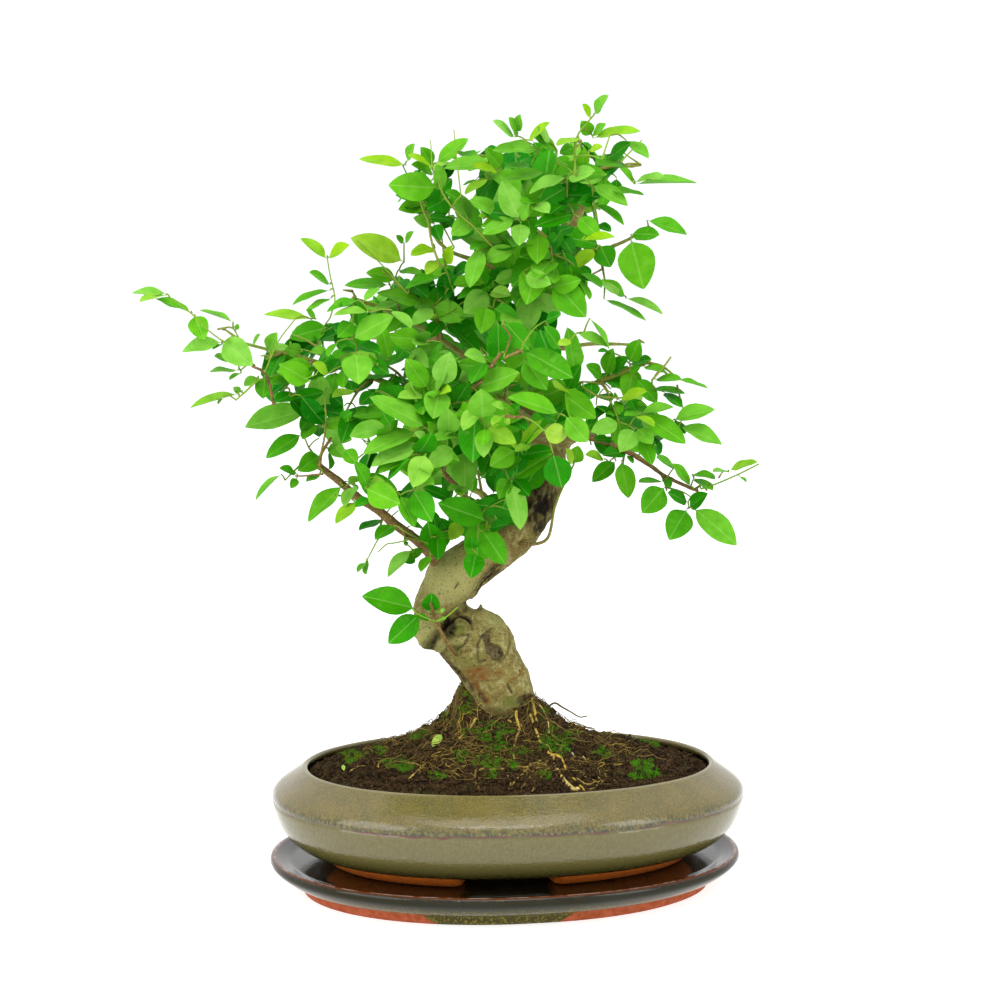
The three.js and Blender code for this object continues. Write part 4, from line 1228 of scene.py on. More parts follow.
    # painted shadow: a dark band down the trunk's lower left edge
    foot_shadow = line(4.5, (440, 655), (455, 668), (466, 681), (476, 691), (485, 701))
    freckles = ramp(0.36, 0.55, noise(points * [1, 1, 1.7], 2.6, 59))
    speckled = near_spot(at, (425, 637), (11, 13), 0.8) + near_spot(at, (440, 600), (20, 9), 1)
    hem = ramp(700, 714, view[:, 1] + 5 * noise(points, 4, 60))
    # painted shade: the crease, hollow, callus arcs, brink of the dead patch, crack, slit, rings, brow and
    # pit are darkened where shade falls in them; the ridges, rough bark, freckles and peat are the bark's
    # own dark
    dark = 0.85 * crease * ramp(-0.5, 0.2, grain) + 0.8 * hollow * ramp(-0.9, -0.1, grain)
    dark += 0.6 * left_arc + 0.6 * right_arc + crack + slit + 0.75 * brink * ramp(-0.7, 0, grain)
    dark += (0.65 * rings + 0.9 * brow) * ramp(-0.8, 0, grain) + 0.95 * dark_bark_and_shade * ramp(0.75, 0.35, ridged)
    dark += rough * (0.35 + 0.6 * ramp(-0.35, 0.35, grain)) + 0.6 * pit + 0.5 * hem
    dark += freckles * (0.15 + 0.35 * low_trunk + 0.5 * front * speckled)
    dark += 0.8 * foot_shadow * ramp(-0.6, 0.3, grain) + 0.9 * peaty * ramp(-0.8, 0.3, noise(points, 3, 62))
    bloom = 0.85 * knob * ramp(-0.5, 0.3, noise(points, 2.4, 63)) + 0.5 * spot((456, 648), (5, 4), 1)
    bloom += 0.6 * spot((511, 701), (9, 5), 1) + 0.4 * spot((448, 560), (14, 7), 1)
    bloom += 0.35 * hem + 0.25 * ramp(0.1, 0.5, noise(points, 12, 61))
    pale = near_spot(flat, (448, 575), (30, 26), 1) + 0.6 * near_spot(at, (500, 615), (20, 14), 1)
    pale += 0.9 * near_spot(at, (424, 634), (12, 16), 0.8)
    healed = 0.1 * callus + 0.4 * chin + 0.9 * bump + front * pale
    values = {"callus": healed, "dead": dead, "rust": rust, "bloom": bloom, "dark_bark_and_shade": dark}
    return height, {name: np.clip(value, 0, 1) for name, value in values.items()}


def make_trunk(material):
    """The trunk: its lower and upper stretches and the knots between them, melted into one skin, with
    the bark's relief raised along the normals."""
    parts = []
    for name, count in (("trunk_low", 60), ("trunk_high", 200)):
        parts.append(tube(limb_way(name, count), spread(LIMBS[name][0], count), 48))
    for name in ("low_left", "low_middle", "low_back", "left", "front", "low_right", "right"):
        thick = LIMBS[name][0][0] * np.linspace(1.9, 1.0, 9) ** 1.2
        parts.append(tube(limb_way(name, 60)[:9], thick, 16))
    rise = np.linspace(-0.98, 0.98, 30)[:, None, None]
    ball = np.sqrt(1 - rise ** 2) * circle(40) + rise * np.array([0, 0, 1])
    for place, half in KNOTS:
        centre = seen([place])[0]
        top = np.array([0, 0, half[2]])
        parts.append(skin(ball * half + centre, centre - top, centre + top))
    raw = add_object("raw_trunk", make_mesh("raw_trunk", join(parts)))
    melt = raw.modifiers.new("melt", "REMESH")
    melt.mode = "VOXEL"
    melt.voxel_size = 0.85 * MM
    soften = raw.modifiers.new("soften", "SMOOTH")
    soften.factor = 0.5
    soften.iterations = 8
    shape, normals = read_shape(raw)
    bpy.data.objects.remove(raw)
    height, values = trunk_relief(shape["points"], normals)
    smoother = ramp(520, 300, picture(shape["points"])[:, 1])
    shape["points"] = shape["points"] + normals * (height * (1 - 0.7 * smoother))[:, None]
    return make_piece("trunk_bark", {**shape, **values}, material, "bark", "trunk")


def youth(first, last, rings, sides):
    """A tube's point values from one end to the other, and those of the points that close it."""
    return np.append(np.linspace(first, last, rings).repeat(sides), [first, last])


def make_limbs(material):
    """The limbs: uneven tapering tubes that start inside the trunk."""
    parts = []
    count = 60
    steps = np.arange(count)
    away = np.linspace(0, 1.6, count) * np.sin(np.linspace(0, np.pi, count))
    for name, (radius, _) in LIMBS.items():
        if name.startswith("trunk"):
            continue
        way = limb_way(name, count)
        wander = np.stack([noise(way, 14, seed, 2) for seed in (71, 72, 73)], -1)
        thick = spread(radius, count) * (1 + 0.12 * ramp(0.55, 1, np.cos(steps * 0.9)))
        young = 0 if name in BROWN_LIMBS else youth(0, 0.6, count, 10)
        parts.append(with_values(tube(way + wander * away[:, None], thick, 10, 0.3), young=young))
    return make_piece("limb_wood", join(parts), material, "bark", "trunk")


# The foliage

# Leaves that the front shows: across and down of the base, the steps across and down from there to the
# tip, width in pixels, and tone in hundredths, from 0 for deep green over 45 for fresh and 60 for pale to
# 80 for yellow. The tone holds each leaf's light as well as its green: painted shade on the leaves that
# lie in shadow, paler on the lit ones
SEEN_LEAVES = [
    (328, 257.5, 21, -12.5, 11, 80),
    # top left
    (406, 165, -46, -7, 10, 80), (407, 161, 7, -16, 9, 50), (432, 165, -22, -10, 6, 80),
    (433, 165, -11, -16, 14, 40), (436, 163, 32, -24, 14, 45), (459, 154, 18, 0, 6, 30),
    (493, 164, -48, 3, 15, 50), (498, 172, -25, -5, 9, 80), (438, 188, -49, -3, 28, 45),
    (434, 174, -21, -9, 10, 45), (442, 191, -5, -24, 14, 50), (428, 205, -29, 4, 15, 40),
    (442, 201, -15, 8, 14, 10), (433, 223, -18, -5, 14, 55), (463, 202, -16, -10, 11, 30),
    (488, 178, -24, 16, 8, 75), (493, 179, -16, 19, 12, 15), (502, 168, -15, -18, 17, 45),
    (539, 150, -46, 0, 13, 50), (515, 137, -21, -15, 8, 60), (517, 136, -7, -17, 8, 50),
    (518, 132, 2, -16, 10, 50), (527, 142, 20, -19, 7, 80), (546, 172, -45, 7, 12, 42),
    (531, 165, -27, 4, 6, 30), (519, 220, -17, -38, 24, 60), (520, 221, 8, -16, 12, 50),
    (497, 212, -26, -12, 15, 50), (469, 221, -18, 14, 19, 50), (474, 229, -22, 12, 10, 10),
    (434, 224, 7, 17, 14, 10), (433, 218, 15, 2, 6, 10), (515, 219, -33, 15, 15, 50),
    (521, 223, -2, 23, 19, 60), (404, 262, -52, -24, 25, 85), (405, 243, 8, -11, 6, 50),
    (404, 243, -7, -7, 6, 50), (397, 279, -30, -7, 15, 45), (389, 285, -44, 0, 11, 35),
    (435, 248, -24, 7, 11, 80), (437, 260, -11, 14, 12, 85), (447, 265, 4, -18, 12, 80),
    (488, 242, -18, 7, 9, 30), (492, 246, 23, 1, 9, 15), (484, 260, 31, -12, 17, 50),
    (482, 248, -13, 40, 18, 50), (415, 284, 45, -18, 10, 30), (493, 281, 31, -7, 14, 55),
    (399, 270, 23, 5, 8, 40),
    # top and top right
    (594, 114, 12, -17, 10, 55), (591, 117, -8, -12, 7, 80), (592, 135, -10, -13, 14, 45),
    (592, 135, 13, -10, 8, 50), (593, 138, 47, -7, 10, 75), (551, 142, -13, -14, 8, 60),
    (557, 151, -22, -14, 12, 40), (579, 137, -23, 9, 7, 75), (575, 147, -16, 7, 13, 30),
    (583, 167, 1, -16, 12, 45), (589, 150, 13, -3, 7, 85), (608, 159, 20, -15, 13, 20),
    (626, 140, 23, 19, 11, 50), (622, 163, -28, 2, 8, 40), (568, 177, -40, 15, 11, 60),
    (567, 179, 26, -9, 14, 60), (567, 187, -27, 16, 20, 10), (567, 202, -18, 12, 11, 10),
    (593, 199, -15, 4, 14, 10), (592, 185, 36, 21, 15, 50), (608, 190, 36, 5, 6, 40),
    (635, 182, 28, -6, 7, 60), (635, 184, 61, -3, 5, 50), (634, 183, -13, -14, 7, 45),
    (594, 204, 31, 20, 8, 30), (574, 214, -40, 11, 15, 20), (578, 217, 22, 20, 18, 40),
    (598, 224, 13, 7, 9, 10), (582, 240, 32, -4, 8, 80), (631, 234, 27, 0, 14, 30),
    (647, 220, 40, 14, 13, 35), (631, 239, 13, 51, 36, 45), (600, 245, 11, 23, 22, 25),
    (594, 248, -20, 20, 14, 80), (560, 234, 13, 20, 15, 10), (538, 232, -1, 33, 23, 45),
    (524, 275, 27, 9, 18, 55), (551, 288, 29, -8, 18, 40), (581, 272, 21, 15, 8, 30),
    (601, 281, 17, 14, 9, 60),
    # left
    (167, 294, -34, -1, 8, 60), (166, 295, -24, 6, 6, 70), (192, 313, -35, -14, 8, 40),
    (194, 315, 11, 26, 20, 45), (222, 342, -39, 9, 14, 60), (222, 340, 32, 26, 28, 60),
    (222, 344, -9, 5, 4, 50), (238, 364, -21, -8, 8, 50), (238, 370, -26, 2, 5, 60),
    (241, 373, -11, 6, 4, 50), (233, 322, -32, -12, 3, 50), (236, 330, 2, -6, 5, 50),
    (238, 394, -47, 13, 7, 70), (241, 392, -7, -4, 7, 60), (222, 397, -4, 7, 3, 60),
    (258, 377, -13, 8, 10, 50), (265, 376, -2, 23, 17, 35), (308, 410, -62, 16, 24, 55),
    (296, 393, -20, 8, 12, 10), (293, 378, -21, 6, 11, 35), (283, 352, -12, 22, 11, 15),
    (268, 352, 9, -19, 14, 50), (252, 345, 8, -11, 4, 50), (302, 352, -16, -3, 15, 50),
    (329, 327, -39, 10, 20, 30), (311, 382, -30, -17, 24, 45), (321, 413, -3, -40, 25, 55),
    (327, 259, -26, -20, 11, 75), (330, 284, -19, -11, 8, 40), (330, 290, -38, 13, 6, 40),
    (311, 319, -46, -6, 9, 75), (316, 319, -9, -9, 6, 40), (331, 298, -23, 13, 6, 50),
    (330, 352, -18, 0, 9, 50), (329, 373, -15, -9, 10, 75),
    # middle left
    (379, 287, -14, 13, 8, 50), (440, 276, -35, 12, 10, 30), (411, 284, 18, 14, 14, 10),
    (426, 304, -48, -13, 14, 45), (400, 303, -28, 9, 8, 60), (369, 312, -35, 2, 8, 65),
    (359, 300, -32, 12, 9, 30), (353, 304, -13, 2, 6, 10), (352, 339, 41, -24, 21, 50),
    (353, 322, -15, 15, 17, 30), (356, 353, 3, 32, 30, 50), (341, 358, -11, 15, 13, 10),
    (345, 366, -2, 22, 12, 35), (356, 350, -14, 2, 6, 5), (357, 346, 24, 6, 12, 10),
    (372, 362, 17, 12, 16, 20), (372, 377, -17, 15, 14, 10), (375, 392, -15, 12, 14, 10),
    (392, 380, -12, 14, 12, 30), (423, 339, -33, -2, 21, 45), (392, 310, 20, 18, 10, 60),
    (434, 308, -22, 17, 14, 60), (433, 306, 34, 12, 22, 48), (443, 320, -16, 20, 15, 10),
    (445, 322, 36, 30, 18, 15), (411, 350, 17, 17, 18, 55), (405, 349, -8, 10, 9, 20),
    (440, 342, -5, 20, 9, 30), (428, 389, -22, -30, 22, 42), (440, 387, 10, -34, 24, 60),
    (424, 395, -25, 2, 11, 65), (440, 388, -7, 31, 26, 50), (449, 435, -1, -25, 23, 55),
    (427, 428, -56, -31, 20, 50), (396, 411, -43, 5, 13, 35), (340, 420, 12, -8, 12, 20),
    (387, 425, -37, 11, 18, 55), (322, 427, 30, 13, 20, 60), (337, 342, -9, 15, 7, 35),
    (354, 390, -21, 6, 8, 75), (312, 415, -11, 15, 14, 25), (315, 423, -12, 16, 12, 40),
    # low left
    (302, 434, -36, 23, 16, 30), (330, 443, 15, 15, 16, 50), (345, 449, 12, 15, 15, 40),
    (320, 455, -21, 15, 20, 35), (329, 450, 1, 19, 5, 35), (296, 474, -15, -6, 8, 30),
    (297, 478, -6, 10, 9, 45), (281, 474, -26, 25, 5, 50), (320, 475, -13, 6, 6, 40),
    (343, 485, -35, 36, 16, 45), (355, 485, -10, 21, 12, 62), (357, 501, -21, 22, 12, 75),
    (370, 498, -14, 9, 10, 20), (368, 487, -12, -24, 14, 30), (365, 488, 35, 16, 26, 45),
    (372, 476, 37, -19, 12, 50), (386, 482, 23, -24, 8, 20), (382, 519, -22, 11, 8, 10),
    (394, 525, -18, 13, 13, 30), (366, 562, -8, 10, 6, 50), (367, 560, -1, 14, 6, 40),
    (406, 541, 0, 5, 5, 30), (412, 549, -25, 27, 12, 60), (416, 557, -12, 5, 10, 15),
    (417, 431, -54, 21, 18, 50), (422, 443, -51, 22, 19, 60), (408, 456, -30, 16, 12, 40),
    # middle and low middle
    (426, 454, -13, 33, 25, 65), (454, 447, -26, 19, 20, 55), (464, 450, 1, 39, 27, 55),
    (457, 436, -24, 4, 9, 50), (427, 439, -12, -6, 9, 60), (434, 434, -6, -12, 8, 45),
    (478, 408, -15, 22, 16, 65), (485, 428, -3, 19, 14, 40), (515, 450, -25, 16, 22, 45),
    (490, 456, -8, 18, 14, 15), (500, 468, -10, 7, 10, 15), (520, 444, 21, -24, 8, 75),
    (544, 430, -17, 14, 5, 75), (530, 445, -15, 6, 8, 70), (518, 447, -11, -9, 7, 75),
    (523, 455, 28, -5, 14, 10), (553, 453, 9, 35, 28, 12), (511, 480, 41, -27, 20, 35),
    (505, 470, 17, -11, 10, 30), (508, 478, -9, 20, 17, 35), (511, 482, 11, 47, 20, 58),
    (514, 479, 15, 16, 16, 10), (504, 508, -30, -4, 18, 12), (487, 521, -49, -18, 27, 25),
    (483, 531, 22, 33, 24, 30), (476, 553, -5, 24, 21, 20), (472, 549, 0, -13, 14, 15),
    (437, 536, 1, 23, 19, 20), (432, 542, -4, -19, 22, 20), (449, 533, -11, -15, 14, 10),
    (413, 490, 19, 32, 26, 25), (400, 495, 15, 32, 18, 35), (452, 500, -28, -13, 12, 5),
    (489, 529, 19, -5, 11, 5), (420, 477, 14, 7, 10, 50), (460, 523, -10, 17, 16, 85),
    (421, 547, -11, 13, 10, 40), (430, 555, -9, 16, 10, 45),
    # middle right
    (490, 291, 21, 5, 14, 65), (489, 291, -25, 22, 23, 60), (487, 306, -6, 28, 22, 42),
    (529, 296, -1, 36, 25, 60), (533, 294, 28, 21, 18, 60), (553, 281, 33, 36, 30, 35),
    (505, 322, 24, 28, 22, 25), (499, 361, -1, -36, 26, 15), (485, 361, -14, 23, 15, 25),
    (474, 389, 45, -17, 22, 48), (520, 389, 9, -19, 13, 50), (523, 358, 24, 32, 24, 35),
    (523, 350, 50, 27, 26, 30), (560, 349, -15, -22, 14, 25), (575, 376, -7, -48, 18, 35),
    (545, 321, 15, -7, 10, 10), (567, 390, 13, -25, 16, 20), (603, 377, -16, -12, 12, 30),
    (606, 376, 6, -26, 15, 35), (610, 374, 17, -16, 14, 20), (592, 381, -2, 19, 17, 15),
    (560, 392, 36, 26, 24, 40), (565, 416, 23, 26, 23, 48), (619, 422, -28, 10, 17, 55),
    (560, 414, -51, -19, 17, 42), (483, 420, -2, -30, 28, 52), (452, 409, 16, -25, 22, 15),
    (505, 408, -13, -4, 8, 65), (500, 415, -8, 10, 8, 70), (506, 425, 3, -7, 6, 70),
    (508, 415, 12, -10, 10, 20), (510, 417, 17, 13, 14, 10), (556, 421, -18, -8, 10, 15),
    (543, 430, 25, 7, 20, 90), (626, 297, -24, -16, 11, 45), (604, 299, 43, 20, 6, 45),
    (626, 298, 37, 15, 8, 60), (575, 275, 27, 10, 6, 25), (577, 278, 13, 22, 6, 45),
    (590, 318, 20, 31, 4, 50), (577, 333, 32, 14, 10, 55), (587, 334, 7, 6, 5, 30),
    (571, 340, -13, 5, 8, 85),
    # right
    (629, 363, 10, -22, 17, 35), (630, 364, 20, -5, 8, 15), (611, 352, -13, -1, 4, 15),
    (607, 379, 13, 9, 8, 20), (630, 372, 10, -5, 8, 35), (644, 366, 20, 6, 8, 40), (655, 379, 25, 0, 8, 40),
    (677, 379, 30, 9, 4, 40), (652, 389, 33, 4, 7, 30), (636, 378, 21, 25, 16, 30),
    (620, 398, 25, -7, 10, 82), (617, 400, 2, 15, 10, 40), (630, 399, 6, 12, 12, 15),
    (641, 413, 32, -7, 10, 50), (641, 412, -17, 3, 6, 40), (636, 416, 18, 9, 7, 75),
    (643, 415, 43, 27, 20, 40), (664, 392, 17, 14, 10, 15), (673, 420, 41, -11, 16, 50),
    (679, 426, 43, 17, 15, 50), (675, 420, 10, 13, 8, 15), (634, 429, -14, 23, 21, 58),
    (637, 428, 15, 15, 15, 50), (641, 438, 11, 27, 16, 35), (656, 437, 2, 18, 8, 10),
    (612, 440, -18, 0, 9, 15), (627, 452, -25, 3, 13, 15), (596, 405, 18, 10, 7, 30),
    # the shoots on the trunk
    (416, 609, -53, -14, 27, 27), (420, 614, -31, 29, 24, 22), (429, 619, -13, -2, 7, 30),
    (430, 612, 2, -19, 18, 15), (440, 612, 5, -3, 4, 60), (440, 620, 6, -2, 4, 65),
    (574, 464, 4, -18, 16, 45), (573, 464, -6, -15, 8, 85),
    # low right
    (616, 461, -24, 21, 16, 30), (621, 461, 8, 37, 20, 45), (604, 459, -18, -5, 9, 75),
    (628, 455, 5, 8, 5, 25), (665, 487, -23, 26, 25, 35), (662, 481, -24, 1, 6, 35),
    (667, 478, 3, 10, 9, 30), (687, 509, -18, 31, 27, 32), (689, 508, 17, -14, 14, 20),
    (693, 508, 44, 35, 24, 48), (688, 502, -20, -10, 12, 20), (675, 467, -19, -10, 8, 35),
    (691, 486, -19, -23, 10, 40), (692, 474, 22, 5, 8, 40), (694, 478, 18, 11, 8, 45),
    (729, 470, 27, -8, 8, 72), (729, 472, -17, -1, 3, 60), (739, 476, 7, 6, 3, 50),
]

# Twigs that the front shows between the leaves: radius at each end, how young, and places
SEEN_TWIGS = [
    (0.5, 0.4, 0.4, [(326, 414), (325, 401), (326, 388)]),
    (1.2, 0.9, 0.0, [(320, 468), (321, 455), (326, 446), (331, 438)]),
    (0.8, 0.6, 0.2, [(321, 455), (325, 434), (326, 421)]),
    (0.7, 0.5, 0.0, [(323, 474), (302, 476), (295, 476)]),
    (1.3, 1.2, 0.0, [(490, 368), (495, 361), (501, 353)]),
    (0.9, 0.7, 0.1, [(504, 358), (513, 354), (522, 350)]),
    (0.6, 0.5, 0.0, [(505, 354), (510, 337), (502, 325)]),
    (1.1, 0.9, 0.0, [(473, 388), (478, 384), (483, 380)]),
    (0.8, 0.6, 0.5, [(409, 294), (396, 282), (382, 270)]),
    (1.1, 0.8, 0.0, [(274, 405), (265, 373), (252, 366)]),
    (0.7, 0.5, 0.9, [(254, 383), (246, 391), (236, 400)]),
    (0.5, 0.4, 0.8, [(265, 372), (278, 342), (296, 318)]),
    (0.5, 0.4, 0.8, [(224, 342), (208, 330), (192, 314), (170, 298)]),
    (0.8, 0.6, 0.5, [(583, 388), (598, 396), (617, 398)]),
    (0.7, 0.6, 0.6, [(652, 380), (662, 369), (671, 357)]),
    (0.9, 0.8, 0.0, [(505, 416), (514, 417), (524, 417)]),
    (0.6, 0.4, 0.9, [(386, 531), (379, 538), (367, 560)]),
    (0.5, 0.4, 0.8, [(408, 540), (394, 543), (387, 544), (378, 552)]),
    (0.6, 0.5, 0.9, [(701, 489), (716, 484), (739, 474), (759, 464)]),
    (0.6, 0.4, 0.9, [(620, 163), (632, 150), (642, 140)]),
    (0.6, 0.4, 0.9, [(602, 159), (606, 147), (610, 135)]),
    (0.8, 0.5, 0.8, [(575, 175), (577, 137), (594, 115)]),
    (0.5, 0.4, 0.9, [(330, 318), (335, 300), (330, 275), (327, 256)]),
    (0.8, 0.6, 0.5, [(441, 268), (432, 243), (427, 217), (423, 210), (417, 180)]),
    (0.5, 0.3, 0.8, [(461, 196), (456, 152), (454, 130)]),
    (0.4, 0.3, 0.9, [(432, 168), (431, 146), (430, 140)]),
    (0.6, 0.5, 0.4, [(445, 268), (442, 238)]),
    (0.7, 0.5, 0.6, [(491, 245), (473, 226), (461, 216), (446, 199), (432, 168)]),
    (0.5, 0.4, 0.8, [(408, 294), (383, 266), (357, 240)]),
    (0.5, 0.4, 1.0, [(437, 621), (446, 617), (458, 607)]),
    (0.4, 0.4, 0.9, [(437, 622), (429, 619), (418, 614), (412, 609)]),
]

# Windows in the crown: across, down, half width and half height
WINDOWS = [
    (350, 401, 8, 10), (378, 383, 6, 7), (397, 370, 7, 7), (379, 341, 6, 3), (356, 448, 9, 8),
    (399, 421, 3, 4), (344, 345, 6, 5), (329, 346, 4, 5), (431, 292, 2, 3), (450, 337, 4, 3),
    (426, 345, 3, 2), (403, 453, 3, 2), (572, 318, 9, 9), (566, 358, 4, 8), (592, 355, 9, 9),
    (554, 372, 6, 6), (610, 389, 11, 5), (600, 403, 14, 6), (577, 395, 5, 2), (557, 397, 5, 4),
    (530, 414, 8, 9), (540, 427, 3, 4), (546, 390, 3, 3), (598, 291, 4, 6), (528, 292, 4, 2),
    (471, 364, 3, 2), (457, 373, 3, 3), (627, 425, 6, 3), (662, 397, 2, 5), (664, 416, 7, 4),
    (688, 421, 6, 2), (343, 470, 12, 10), (368, 460, 4, 4), (401, 480, 8, 10), (393, 514, 10, 6),
    (326, 462, 3, 4), (310, 446, 10, 5), (395, 535, 8, 4), (435, 477, 8, 6), (444, 467, 3, 3),
    (483, 494, 12, 8), (485, 480, 8, 5), (493, 520, 6, 4), (439, 508, 4, 8), (462, 543, 4, 4),
    (450, 548, 2, 7), (533, 480, 2, 2), (541, 437, 10, 8),
    (447, 160, 7, 3), (456, 182, 6, 11), (472, 173, 7, 4), (473, 193, 7, 5), (508, 160, 4, 6),
    (499, 208, 4, 4), (477, 218, 7, 2), (447, 211, 6, 4), (445, 224, 4, 2), (480, 228, 3, 3),
    (480, 236, 5, 4), (465, 250, 7, 8), (453, 262, 4, 3), (438, 249, 2, 6), (436, 272, 4, 2),
    (413, 264, 8, 6), (499, 269, 5, 3), (462, 281, 2, 3), (430, 290, 2, 5), (407, 278, 3, 2),
    (586, 139, 4, 4), (600, 147, 6, 8), (602, 174, 4, 3), (606, 185, 4, 2), (626, 179, 8, 5),
    (608, 215, 9, 9), (621, 233, 8, 3), (630, 213, 4, 6), (589, 264, 5, 4), (617, 275, 18, 5),
]

# The dense part of the crown in the picture, where unseen leaves fill the space behind the seen ones
CROWN_CORE = [
    (392, 186), (412, 166), (440, 152), (480, 152), (505, 146), (530, 142), (560, 152), (588, 134),
    (602, 150), (620, 160), (622, 188), (628, 204), (602, 212), (596, 236), (598, 262), (590, 280),
    (586, 312), (562, 312), (552, 326), (566, 352), (560, 372), (584, 384), (604, 374), (632, 364),
    (646, 382), (642, 400), (668, 414), (682, 434), (656, 446), (650, 462), (630, 456), (600, 452),
    (586, 438), (562, 432), (548, 424), (556, 452), (560, 484), (530, 490), (522, 522), (504, 532),
    (502, 560), (476, 574), (464, 548), (440, 544), (434, 556), (420, 546), (410, 522), (394, 502),
    (374, 500), (350, 490), (338, 474), (344, 442), (302, 432), (298, 416), (268, 402), (256, 380),
    (262, 352), (288, 332), (312, 322), (340, 320), (350, 302), (366, 302), (400, 276), (432, 262),
    (470, 262), (470, 238), (442, 228), (420, 216), (400, 206),
]

# A leaf's blade from stalk to tip: where its rings lie, their half width, and the places across a ring
LEAF_STATIONS = np.array([0.07, 0.11, 0.17, 0.25, 0.35, 0.47, 0.6, 0.72, 0.82, 0.9, 0.96])
LEAF_OUTLINE = np.array([0.06, 0.26, 0.55, 0.8, 0.96, 1.0, 0.94, 0.8, 0.61, 0.39, 0.18])
LEAF_ACROSS = np.array([1, 0, -1, 0])
LEAF_SIDE = np.array([0, 1, 0, -1])
LEAF_THICKNESS = 0.3
CROWN_FRONT = -124
CROWN_BACK = 138
CROWN_HEART = seen([(500, 370, 0)])[0]


def leaf_blades(leaves):
    """All leaves of a spray at once. Each is a row of rings from stalk to tip: across a ring, the half
    width is the outline's, both halves rise from the midrib by the fold, the edges wave, and the whole
    bends down towards the tip by the droop."""
    base, ahead, up = (np.array([leaf[key] for leaf in leaves]) for key in ("base", "ahead", "up"))
    length, width, fold, droop, wave, tone = (
        np.array([leaf[key] for leaf in leaves])[:, None, None]
        for key in ("length", "width", "fold", "droop", "wave", "tone"))
    ahead = unit(ahead)
    side = unit(np.cross(up, ahead))
    axes = [axis[:, None, None] for axis in (ahead, side, np.cross(ahead, side))]
    station = LEAF_STATIONS[:, None]
    half = LEAF_OUTLINE[:, None] * width / 2
    out = LEAF_ACROSS * half
    rise = np.abs(out) * np.sin(fold)
    rise = rise + wave * np.sin(station * 9 + tone * 40 + 2 * LEAF_ACROSS) * np.abs(LEAF_ACROSS) * half
    rise = rise + LEAF_SIDE * LEAF_THICKNESS / 2 - droop * length * station ** 2

    def put_at(*amounts):
        """Each leaf's points that lie so far ahead, to the side and up from its base."""
        points = base[:, None, None] + sum(
            amount[..., None] * axis for amount, axis in zip(amounts, axes))
        return points.reshape(len(leaves), -1, 3)

    rings = put_at(station * length + 0 * out, out * np.cos(fold), rise)
    none = 0 * length
    points = np.concatenate([rings, base[:, None], put_at(length, none, -droop * length)], axis=1)
    rows = len(LEAF_STATIONS)
    template = skin(np.zeros((rows, len(LEAF_SIDE), 3)), np.zeros(3), np.zeros(3))["faces"]
    count = points.shape[1]
    faces = np.where(template >= 0, template + count * np.arange(len(leaves))[:, None, None], -1)
    u = 0.5 + 0.5 * LEAF_ACROSS * LEAF_OUTLINE[:, None]
    v = np.broadcast_to(LEAF_STATIONS[:, None], u.shape)
    uv = np.concatenate([np.stack([u, v], -1).reshape(-1, 2), [[0.5, 0], [0.5, 1]]])
    rim = [*np.tile(np.where(LEAF_SIDE == 0, 1, np.where(LEAF_SIDE > 0, 2, 0)), rows), 0, 1]
    under = [*np.tile(LEAF_SIDE < 0, rows), 0, 0]
    return {
        "points": points.reshape(-1, 3),
        "faces": faces.reshape(-1, 4),
        "uv": np.tile(uv, (len(leaves), 1)),
        "rim": np.tile(rim, len(leaves)),
        "under": np.tile(under, len(leaves)),
        "tone": tone[:, 0, 0].repeat(count),
    }


def inside(places, outline):
    """Whether places in the picture lie inside a closed outline: an odd number of its edges cross the
    level line to the right of each."""
    x0, y0 = np.array(outline, float).T
    x1, y1 = np.roll(x0, -1), np.roll(y0, -1)
    across, down = places[:, 0, None], places[:, 1, None]
    level = (down < y0) != (down < y1)
    slope = (x1 - x0) / np.where(y1 == y0, 1, y1 - y0)
    return (level & (across < x0 + (down - y0) * slope)).sum(1) % 2 == 1


def in_window(places):
    """Whether places in the picture lie in a window of the crown."""
    across, down, half_width, half_height = np.array(WINDOWS, float).T
    x, y = places[:, :2].T[..., None]
    return (np.hypot((x - across) / half_width, (y - down) / half_height) < 1).any(1)


def twig_ways(name):
    """The main twigs of a spray: a low arch from the limb, or from the first twig, to each tip."""
    share, tips = SPRAYS[name]
    limb = name.rpartition("_")[0] or "trunk_high"
    start, _ = along(limb_way(limb, 200), share)
    ways = []
    for tip in seen(tips):
        foot = along(ways[0], TWIG_FORK)[0] if ways else start
        reach = np.linalg.norm(tip - foot)
        end = tip + (foot - tip) * (20 / reach)
        middle = (foot + end) / 2 + [0, 0, 0.06 * reach]
        ways.append(smooth_way([foot, middle, end], 24))
    return ways


def side_twigs(way, rng):
    """Short twigs that leave a main twig to either side in turn, as far as they stay in the crown and
    out of its windows."""
    length = way_length(way)
    ways = []
    hand = rng.choice([-1, 1])
    for share in np.arange(0.2, 0.95, 11 / max(length, 30)):
        foot, ahead = along(way, share + rng.uniform(-0.03, 0.03))
        level = unit(np.cross(ahead, [0, 0, 1]))
        heading = unit(ahead * 0.6 + level * hand * 0.9 - EYE_BACK * rng.uniform(0, 0.8)
                       + [0, 0, rng.uniform(-0.2, 0.5)])
        reach = rng.uniform(16, 40) * (1.15 - 0.5 * share)
        bend = foot + heading * reach * 0.5 + [0, 0, 1.5]
        side = smooth_way([foot, bend, foot + heading * reach + ahead * reach * 0.2], 10)
        places = picture(side)
        free = inside(places, CROWN_OUTLINE) & ~in_window(places)
        stop = len(side) if free.all() else int(np.argmin(free))
        if stop >= 4:
            ways.append(side[:stop])
        hand = -hand
    return ways


def facing_up(point, rng):
    """Where a leaf turns its upper face: up, out of the crown, and to the front or the back light,
    with some disorder."""
    out = unit((point - CROWN_HEART) * [1, 1, 0.6])
    behind = picture(point[None])[0, 2]
    light = EYE_BACK * (1 - 1.7 * ramp(0, 60, behind))
    return unit([0, 0, 0.5] + out * 0.35 + light * 0.65 + rng.normal(0, 0.26, 3))


